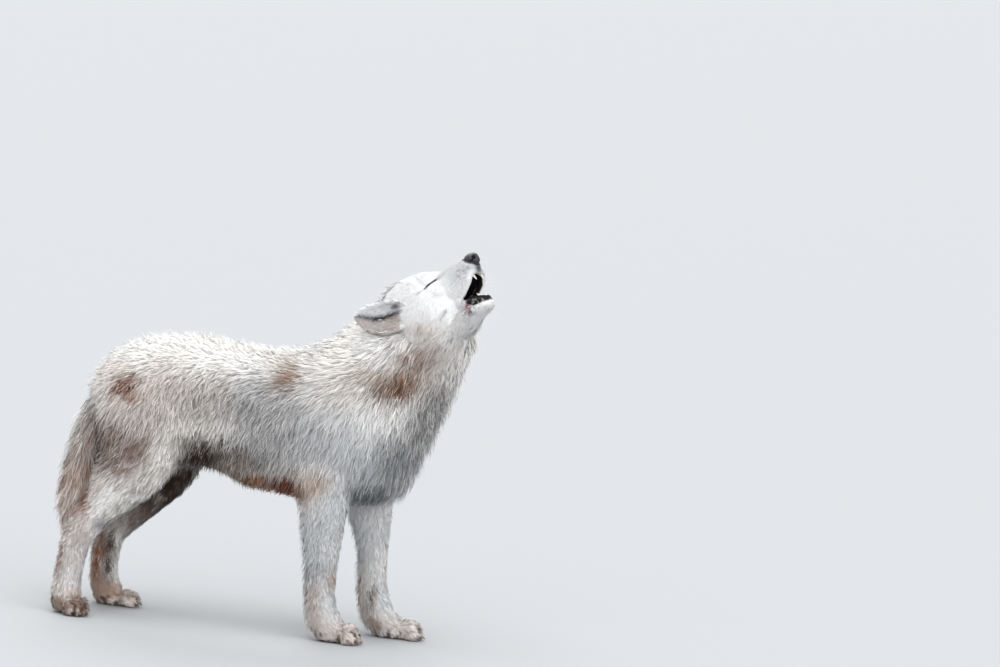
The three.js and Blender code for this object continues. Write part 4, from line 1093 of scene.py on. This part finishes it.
def grow(
    name, spots, length, width, rise, clump=0.4, per_clump=8, segments=2,
    shag=0.2, hang=None, wild=0.08, calm=0.0, mix=1.0, bold=-0.4,
):
    """Tufts at the spots. length, width, rise and hang are in millimetres: the tip of a tuft stands rise over the
    skin and hangs down by hang. Neighbours lean together into clumps by the share clump, about per_clump tufts in
    each, and turn together by shag. A share of the tufts is wild: it stands further out and is wider by bold. calm,
    from 0 to 1, is how even the coat is, and mix is how far its colours run into each other."""
    root, normal, way, uv = (spots[key] for key in ("root", "normal", "way", "uv"))
    count = len(root)
    heads = rng.permutation(count)[: max(count // per_clump, 1)]
    kd = kd_tree(root[heads])
    mine = np.array([kd.find(p)[1] for p in root.tolist()])
    turn = (rng.normal(0, shag, len(heads))[mine] + rng.normal(0, shag * 0.45, count)) * (1 - 0.6 * calm)
    way = unit(way - normal * np.einsum("ij,ij->i", way, normal)[:, None])
    aside = np.cross(normal, way)
    way = way * np.cos(turn)[:, None] + aside * np.sin(turn)[:, None]
    aside = np.cross(normal, way)
    length = length * (rng.uniform(0.8, 1.2, len(heads))[mine] * rng.uniform(0.75, 1.15, count))
    rise = rise * rng.uniform(0.8, 1.15, len(heads))[mine] * rng.uniform(0.55, 1.05, count)
    stray = rng.random(count) < wild
    rise, length, width = rise * (1 + 0.8 * stray), length * (1 + 0.25 * stray), width * (1 + bold * stray)
    reach = np.sqrt(np.maximum(length**2 - rise**2, (0.3 * length) ** 2))
    tip = root + way * reach[:, None] + normal * rise[:, None]
    if hang is not None:
        tip[:, 2] -= hang
    pull = (clump * (1 - 0.5 * calm) * rng.uniform(0.5, 1.2, count) * (1 - 0.7 * stray))[:, None]
    drawn = (tip[heads][mine] - tip) * pull - (0 if hang is None else hang[:, None] * np.array([0, 0, 1.0]))
    steps = {3: [0, 0.38, 0.72, 1], 2: [0, 0.55, 1]}[segments]
    widths = {3: [0.9, 1.0, 0.62, 0], 2: [1, 0.75, 0]}[segments]
    roll = rng.normal(0, 0.45, count)
    across = aside * np.cos(roll)[:, None] + normal * np.sin(roll)[:, None]
    colour = coat_colour(root + rng.normal(0, 1, root.shape) * np.reshape(mix, (-1, 1)))
    value = 1 + (0.075 * rng.normal(0, 1, len(heads))[mine] + 0.07 * rng.normal(0, 1, count)) * (1 - 0.75 * calm)
    dusky = 0.012 * (1 - calm) * np.ones(count)
    for x, z, half, tall, share in DUSKY:
        dusky += share * np.exp(-(((root[:, 0] - x) / half) ** 2) - ((root[:, 2] - z) / tall) ** 2)
    dusky = dusky * np.clip(1 + 1.5 * noise(root, 16, 31), 0, 3) * (root[:, 1] < 40)
    value = value * np.where(rng.random(count) < dusky, rng.uniform(0.42, 0.7, count), 1)
    points, normals, colours, maps = [], [], [], []
    tilt = unit(normal + 0.1 * way + rng.normal(0, 0.12, (count, 3)))
    for t, w in zip(steps, widths):
        middle = root + way * (reach * t)[:, None] + normal * (rise * (1 - (1 - t) ** 2) - 0.8 * (t == 0))[:, None]
        middle = middle + drawn * t**1.6
        for edge in (-1, 1) if w else (0,):
            points.append(middle + across * (edge * w * width / 2)[:, None])
            normals.append(unit(tilt + 0.32 * edge * across))
            # painted shade: each tuft darker at its root, lighter towards its tip
            colours.append(np.clip(colour * (value * (0.88 + 0.16 * t))[:, None], 0, 0.97))
            maps.append(uv + np.array([0.0012 * edge, 0.003 * t - 0.0015]))
    per = len(points)
    faces = []
    for k in range(segments - 1):
        faces += [[2 * k, 2 * k + 3, 2 * k + 1], [2 * k, 2 * k + 2, 2 * k + 3]]
    faces.append([per - 3, per - 1, per - 2])
    points, normals, colours, maps = (np.stack(rows, 1) for rows in (points, normals, colours, maps))
    points = np.clip(points, *COAT_BOX)
    order = np.argsort(root[:, 0], kind="stable")
    pieces = max(-(-count // (MOST_FACES // len(faces))), 1)
    for n, chosen in enumerate(np.array_split(order, pieces)):
        base = (np.arange(len(chosen)) * per)[:, None, None]
        made = (np.array(faces)[None] + base).reshape(-1, 3)
        ob = mesh_object(f"{name}_{n + 1}", points[chosen].reshape(-1, 3), made)
        paint(ob, colours[chosen].reshape(-1, 3))
        layer = ob.data.uv_layers.new(name="OFBake")
        flat_uv = maps[chosen].reshape(-1, 2)[made.ravel()]
        layer.uv.foreach_set("vector", flat_uv.astype(np.float32).ravel())
        ob.data.normals_split_custom_set_from_vertices(normals[chosen].reshape(-1, 3).astype(np.float32))
        piece(ob, "coat", FUR)


def tufts(part):
    """How many tufts a part gets."""
    return int(TUFTS[part] * density)


def trunk_way(s, a):
    """Back along the spine, down on the sides, and straight down the chest."""
    low = step(0.95, 0.1, np.cos(a))
    angle = np.radians(4 + 72 * low)
    return -np.cos(angle), 0.25 * np.sign(np.sin(a)) * step(1, 0.2, np.abs(np.cos(a))), -np.sin(angle)


# The trunk and neck.
spots = scatter("trunk", tufts("trunk"), trunk_way, start=0.05)
s, a = spots["s"], spots["a"]
length = np.interp(s, np.arange(16), [26, 28, 30, 30, 30, 30, 30, 32, 36, 40, 44, 44, 40, 36, 32, 28])
length = length * (1 - 0.25 * step(0.3, 1, np.cos(a)))
belly = step(-0.75, -0.95, np.cos(a)) * step(7.5, 6, s) * step(0.5, 2, s)
rise = trunk_depth(s) * 0.85 + 3 * step(0.8, 1, np.cos(a))
close = np.flatnonzero((spots["root"][:, 0] > 130) & (spots["root"][:, 2] > 740))
length[close] *= 0.35 + 0.65 * step(6, 22, on_ears(spots["root"][close])[2])
rise[close] = np.minimum(rise[close], 0.5 * length[close])
calm = step(0.45, 0.85, np.cos(a))
grow(
    "coat_trunk", spots, length + 8 * belly, 1.55 + 0 * s, rise, clump=0.48, per_clump=9, shag=0.22,
    hang=9 * belly, wild=0.13, mix=8, bold=0.4, calm=calm,
)

# The tail.
spots = scatter("tail", tufts("tail"), lambda s, a: (1 + 0 * s, 0 * s), end=6.9)
s = spots["s"]
length = np.interp(s, [0, 1, 5, 6, 7], [46, 52, 54, 44, 34])
rise = tail_depth(s) + 2 + 8 * step(2.2, 0.6, s)
grow(
    "coat_tail", spots, length, 1.6 + 0 * s, rise, clump=0.45, per_clump=10, segments=3, shag=0.18,
    wild=0.13, mix=7, bold=0.4,
)

# The legs: long on the thighs, short below.
for leg, rows in LEGS.items():
    hind = leg.startswith("hind")
    lie = lambda s, a: (1 + 0 * s, 0.35 * np.sin(a) * (s < 3))
    tall = (lambda s: np.where(s < 3.4, 0.55, 1.5)) if hind else None
    spots = scatter(leg, tufts(leg[:7]), lie, start=0, end=len(rows) - 2.6, weight=tall)
    s, a = spots["s"], spots["a"]
    back = step(0.2, -0.9, np.cos(a))
    if hind:
        length = np.interp(s, [0, 2.5, 4, 5, 9], [28, 26, 18, 14, 12]) * (1 + 0.5 * back)
        rise = np.maximum(thigh_depth(s) * 0.9, 3.8) * (1 + 1.1 * back * step(2, 5, s))
        rise = rise + 7 * back * step(0.3, 1, s) * step(4.6, 3.4, s)
    else:
        length = np.interp(s, [0, 1.5, 3, 5, 8], [26, 18, 14, 13, 12]) * (1 + 0.9 * back)
        rise = np.interp(s, [0, 2, 4], [7, 5, 4.4]) * (1 + 1.4 * back)
    width = np.interp(length, [9, 30], [1.2, 1.5])
    grow(f"coat_{leg}", spots, length, width, rise, shag=0.22, wild=0.2, mix=4, bold=0.4)

# The head and the paws: roots straight on the skin.
skin.data.calc_loop_triangles()
triangles = np.empty(len(skin.data.loop_triangles) * 3, np.int32)
skin.data.loop_triangles.foreach_get("vertices", triangles)
triangles = triangles.reshape(-1, 3)
skin_points = points_of(skin)
triangle_middles = skin_points[triangles].mean(1)
first, second, third = (skin_points[triangles[:, k]] for k in range(3))
triangle_areas = np.linalg.norm(np.cross(second - first, third - first), axis=1)


def spread(count, share, way, place):
    """Roots spread over the skin's own triangles by share. way gives the coat's way, and place the map place."""
    weight = np.cumsum(triangle_areas * share)
    chosen = triangles[np.searchsorted(weight, rng.random(count) * weight[-1])]
    a, b = np.sqrt(rng.random(count)), rng.random(count)
    shares = np.stack([1 - a, a * (1 - b), a * b], 1)[..., None]
    root = (skin_points[chosen] * shares).sum(1)
    normal = unit((smooth_normals[chosen] * shares).sum(1))
    return {"root": root, "normal": normal, "way": way(root, normal), "uv": place(root)}


def near_part(points, part, within):
    """Which points are near a part's own skin."""
    surface, end = SKINS[part]
    kd = kd_tree(grid_points(surface, 0, end, 110, 90).reshape(-1, 3))
    return np.array([kd.find(p)[2] < within for p in points.tolist()])


def on_map(part, u, v):
    u0, v0, du, dv = ATLAS[part]
    return np.stack([u0 + du * np.clip(u, 0, 1), v0 + dv * np.clip(v, 0, 1)], 1)


def head_way(root, normal):
    q = in_head(root)
    f, l, u = q.T
    side = np.sign(l)
    down = 0.75 * step(0, -70, u) * step(60, 0, f) + 0.25
    out = 0.3 * step(20, 60, np.abs(l)) * step(40, -20, f)
    flow = unit(np.stack([-1 + 0 * f, side * out, -down * step(20, -30, u)], 1)) @ HEAD_TURN.T
    fall = neck_share(q)[:, None]
    return flow * (1 - fall) + np.array([-0.45, 0, -0.9]) * fall


# Head.
head_share = np.zeros(len(triangles))
upper = np.flatnonzero((triangle_middles[:, 2] > 660) & (triangle_middles[:, 0] > 130))
upper = upper[~near_part(triangle_middles[upper], "trunk", 6.5)]
q = in_head(triangle_middles[upper])
i, w, off = on_ears(triangle_middles[upper])
on_ear = (off < 7.5) & (i > 0.1)
bare = (mouth_share(q) > 0.35) | (slit_gap(q) < 2.0) | (nose_reach(q) < 1)
dense = np.interp(q[:, 0], [-170, -60, 0, 60, 110], [0.8, 1.0, 1.5, 1.9, 2.2])
head_share[upper] = np.where(bare | on_ear, 0, dense * (1 + 0.6 * neck_share(q)))


def head_map(root):
    f, l, u = in_head(root).T
    angle = np.arctan2(l, u + 55) / (2 * math.pi) + 0.5
    return np.where(
        (f < 20)[:, None], on_map("skull", (f + 180) / 200, angle),
        np.where((u < -92)[:, None], on_map("jaw", (f - 20) / 80, angle), on_map("muzzle", (f - 20) / 100, angle)),
    )


spots = spread(tufts("head"), head_share, head_way, head_map)
q = in_head(spots["root"])
f, l, u = q.T
cheek = step(25, 70, np.abs(l)) * step(10, -60, f) * step(10, -60, u)
length = np.interp(f, [-170, -110, -50, -10, 20, 60, 110], [26, 18, 12, 8, 6, 4.6, 3.2]) + 9 * cheek
length = np.maximum(length, 36 * neck_share(q)) * (1 - 0.6 * step(9, 4, slit_gap(q)))
length = length * (0.35 + 0.65 * step(8, 26, on_ears(spots["root"])[2]))
rise = np.interp(length, [3.2, 6, 12, 36], [0.7, 1.2, 2.8, 11])
width = np.interp(length, [3.2, 12, 30], [0.72, 1.0, 1.45])
neck = neck_share(q)
grow("coat_head", spots, length, width, rise, shag=0.18, calm=0.7 * (1 - neck), mix=0.7 + 7 * neck)

# Ears: short on the backs, longer on the inner face and along the edges.
ear_share = np.zeros(len(triangles))
ear_share[upper[on_ear]] = 1


def ear_way(root, normal):
    q = in_head(root)
    side = np.sign(q[:, 1:2])
    along = unit(np.array(EAR["tip"], float) - np.array(EAR["root"]))
    return (along * np.concatenate([np.ones_like(side), side, np.ones_like(side)], 1)) @ HEAD_TURN.T


def ear_map(root):
    i, w, off = on_ears(root)
    left = in_head(root)[:, 1] > 0
    v = np.where(off < 3.4, w / 2, 1 - w / 2)
    return np.where(left[:, None], on_map("ear_left", i, v), on_map("ear_right", i, v))


spots = spread(tufts("ears"), ear_share, ear_way, ear_map)
i, w, off = on_ears(spots["root"])
edge = np.maximum(step(0.16, 0.03, w), step(0.86, 0.97, w))
length = (8 + 6 * edge + 7 * step(3.6, 2.6, off) * step(0.75, 0.2, i)) * (0.4 + 0.6 * step(0.12, 0.3, i))
grow("coat_ears", spots, length, 1.2 + 0 * i, 1.6 + 2.2 * edge, per_clump=12)

# Paws.
low = triangle_middles[:, 2] < 66
soles = (triangle_middles[:, 2] < 2.5) & (smooth_normals[triangles[:, 0], 2] < -0.4)
paw_share = (low & ~soles).astype(float)


def paw_way(root, normal):
    which, _ = paw_frame(root)
    heading = np.radians(np.array([row[2] for row in PAWS.values()]))[which]
    ahead = step(66, 34, root[:, 2])
    return np.stack([np.cos(heading) * ahead, np.sin(heading) * ahead, -1.1 + 0.3 * ahead], 1)


def paw_map(root):
    which, local = paw_frame(root)
    angle = np.arctan2(local[:, 1], local[:, 2] - 14) / (2 * math.pi) + 0.5
    return on_map("paws", (which + np.clip(local[:, 0] / 150 + 0.5, 0, 0.98)) / 4, angle)


spots = spread(tufts("paws"), paw_share, paw_way, paw_map)
z = spots["root"][:, 2]
length = np.interp(z, [0, 12, 30, 66], [5, 11, 15, 15])
rise = np.interp(z, [0, 12, 30, 60], [1.4, 3.4, 5.2, 5])
grow("coat_paws", spots, length, 1.3 + 0 * z, rise, clump=0.55, per_clump=9, shag=0.34, wild=0.2, bold=0.3)

flesh = [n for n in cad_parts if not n.startswith(("eye", "nose", "tongue"))]
paint(skin, coat_colour(points_of(skin)) * 0.9)
piece(skin, "coat", grained("skin", 0.8, 260, 0.5, share=(0.8, 1.05), Specular_IOR_Level=0.25), *flesh)

# ---- Nose, tongue, teeth, eyes, claws and whiskers ----


def horn(root, tip, radius, bend=(0, 0, 0), rings=8, sides=9, blunt=0.75):
    """The points and faces of a closed cone that tapers from its root to its tip along a bend."""
    root, tip, bend = (np.array(v, float) for v in (root, tip, bend))
    axis = unit(tip - root)
    across = unit(np.cross(axis, [0.31, 0.2, 0.93]))
    upward = np.cross(axis, across)
    points, faces = [], wall(rings - 1, sides)
    for t in np.linspace(0, 1, rings)[:-1]:
        middle = root + (tip - root) * t + bend * 4 * t * (1 - t)
        for k in range(sides):
            turn = 2 * math.pi * k / sides
            points.append(middle + radius * (1 - t) ** blunt * (across * math.cos(turn) + upward * math.sin(turn)))
    last = (rings - 2) * sides
    for k in range(sides):
        n = (k + 1) % sides
        faces += [[last + k, last + n, len(points)], [n, k, len(points) + 1]]
    return points + [tip, root], faces


def horns(name, made):
    """Many horns as one mesh object."""
    points, faces = [], []
    for some_points, some_faces in made:
        faces += [[len(points) + v for v in face] for face in some_faces]
        points += list(some_points)
    return mesh_object(name, points, faces)


def nose_skin(s, a):
    """The nose pad: a rounded box, narrow below, with two nostrils that run out into slits, and a groove between."""
    way = np.stack([np.cos(s), np.sin(s) * np.sin(a), np.sin(s) * np.cos(a)], -1)
    p = power(way, 0.88) * np.array(NOSE["size"])
    p[..., 1] *= 0.78 + 0.22 * step(-18, 2, p[..., 2])
    f, l, u = p[..., 0], np.abs(p[..., 1]), p[..., 2]
    return from_head(p * (1 - nose_dents(f, l, u)[..., None] / 20) + np.array(NOSE["at"]))


def nose_dents(f, l, u):
    """How deep the nose pad is sunk, in millimetres."""
    pit = lambda at, size, deep: deep * np.exp(-sum(((x - m) / r) ** 2 for x, m, r in zip((f, l, u), at, size)) ** 2)
    deep = np.maximum(pit((12.5, 11.5, 0), (10, 5.8, 6), 9.5), pit((6, 18, -6), (9, 7, 2.6), 5.5))
    groove = 2.6 * np.exp(-((l / 1.5) ** 2)) * step(4, -3, u) * step(4, 9, f)
    return np.maximum(deep, groove)


nose = tube("nose_pad", nose_skin, math.pi - 0.02, 90, 110, start=0.02)
f, l, u = (in_head(points_of(nose)) - np.array(NOSE["at"])).T
# painted shade: the nostril pits near black
pit = np.clip(nose_dents(f * 1.25, np.abs(l) * 1.25, u * 1.2) / 4, 0, 1)
# painted highlight: the top of the pad lighter grey, where it catches the light
top = step(2, 16, u) * step(-18, 6, f)
colour = linear((34, 32, 34)) + (linear((92, 90, 94)) - linear((34, 32, 34))) * top[:, None]
paint(nose, colour + (linear((4, 3, 4)) - colour) * pit[:, None])
leather = grained("nose_leather", 0.38, 620, 0.7, (0.8, 1.1), 0.0006, texture="Voronoi", Specular_IOR_Level=0.5)
piece(nose, "nose", leather, "nose")


def tongue_skin(s, a):
    """The tongue, curled up at its sides, with a groove along its middle."""
    f, u, half, thick = row_at(TONGUE, s)
    across = half * power(np.sin(a), 0.9)
    curl = 0.22 * half * (across / np.maximum(half, 1)) ** 2
    groove = 2.2 * np.exp(-((across / 2.6) ** 2)) * (np.cos(a) > 0) * step(4, 3, s)
    return from_head(np.stack([f, across, u + thick * power(np.cos(a), 0.9) + curl - groove], -1))


wet = grained("tongue_skin", 0.3, 900, 0.5, depth=0.0004, colours=((92, 38, 40), (66, 26, 30)), Specular_IOR_Level=0.5)
piece(tube("tongue_skin", tongue_skin, len(TONGUE) - 1, 44, 40), "mouth", wet, "tongue")

teeth = []
for side in (-1, 1):
    rows = [((90, 18, -44), (95.5, 16.5, -67), 3.9, (1.5, 1, 0)), ((77, 15, -119), (75, 18, -93), 4.3, (3, 0, 0))]
    for i in range(3):
        rows.append(((99 - i * 2, 3 + i * 4.6, -41), (100 - i * 2, 3 + i * 4.8, -52 + i * 0.5), 2.3, (0.6, 0, 0)))
        rows.append(((86 - i, 2.4 + i * 3.6, -118), (88 - i, 2.4 + i * 3.8, -109), 1.9, (0.5, 0, 0)))
    for i in range(2):
        root, tip = (80 - i * 12, 27 + i * 1.4, -46 - i * 4), (81 - i * 12, 27.5 + i * 1.2, -52 - i * 4.5)
        rows.append((root, tip, 2.6 + 0.5 * i, (0.6, 0, 0)))
    mirrored = lambda v: (v[0], side * v[1], v[2])
    for root, tip, radius, bend in rows:
        bent = np.array(mirrored(bend)) @ HEAD_TURN.T
        teeth.append(horn(from_head(mirrored(root)), from_head(mirrored(tip)), radius, bent, blunt=0.6))
enamel = grained("enamel", 0.22, 300, 0.1, colours=((240, 234, 220), (222, 208, 182)), Specular_IOR_Level=0.55)
piece(horns("teeth", teeth), "mouth", enamel)

amber = grained("eye_surface", 0.25, 500, 0.05, colours=((26, 17, 11), (10, 7, 5)), Specular_IOR_Level=0.35)
for name in ("eye_right", "eye_left"):
    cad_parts[name].data.materials.clear()
    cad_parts[name].data.materials.append(amber)

claws = []
for x, y, heading, length, width in PAWS.values():
    place = paw_place(x, y, heading)
    for across, reach in toes(length):
        toe = across * width * 0.47
        root, tip = place((reach + length * 0.07, toe, 12)), place((reach + length * 0.2, toe, 2.5))
        claws.append(horn(root, tip, 3.2, (0, 0, 2.4)))
for name, way in (("foreleg_right", 1), ("foreleg_left", -1)):
    x, y, z, fore, half = row_at(LEGS[name], 5.2)
    claws.append(horn((x - 10, y + way * (half - 4), z), (x - 5, y + way * (half + 2), z - 11), 2.6, (0, way * 1.5, 0)))
dark_horn = ((66, 56, 50), (30, 25, 23))
keratin = grained("claw_horn", 0.35, 700, 0.3, colours=dark_horn, depth=0.0003, Specular_IOR_Level=0.5)
piece(horns("claws", claws), "nose", keratin)


def whisker(at, way, length, thick, bend, rings=7, sink=0):
    """A hair from a place on the head, its root sunk in, in the head's own frame. The bend is in the world's."""
    tip = np.array(at) + unit(np.array(way)) * length
    tip[0] = min(tip[0], 106)
    root = (at[0], at[1], at[2] + sink)
    return horn(from_head(root), from_head(tip), thick, bend, rings=rings, sides=4, blunt=0.6)


whiskers = []
own = np.random.default_rng(7)
for side in (-1, 1):
    for row in range(3):
        for i in range(5):
            f, u = 88 - i * 7.5 - row * 2, -36 - row * 7.5 - i * 1.6
            at = (f, side * (column(MUZZLE, f, 3) * 0.9 + 1), u)
            way = (0.5 - i * 0.28, side * (0.9 + 0.1 * i), -0.5 - 0.1 * row + 0.15 * own.normal())
            length, bend = own.uniform(34, 56), np.array([-6, side * 3, -5]) * own.uniform(0.5, 1.4)
            whiskers.append(whisker(at, way, length, 0.42, bend @ HEAD_TURN.T, rings=9))
    for i in range(4):
        at = (84 - i * 9, side * (6 + i * 5), -136 - i * 2)
        whiskers.append(whisker(at, (0.55, side * 0.5, -0.9), own.uniform(18, 30), 0.36, (0, 0, 1.5), sink=3))
    for i in range(3):
        at = (-6 - i * 6, side * 40, 14 + i * 3)
        whiskers.append(whisker(at, (-0.2, side * 0.7, 0.8), own.uniform(20, 30), 0.36, (0, 0, 1.5), sink=-2))
bristle = grained("bristle", 0.45, 120, 0.05, colours=((238, 236, 232), (196, 192, 188)), Specular_IOR_Level=0.4)
piece(horns("whiskers", whiskers), "coat", bristle)
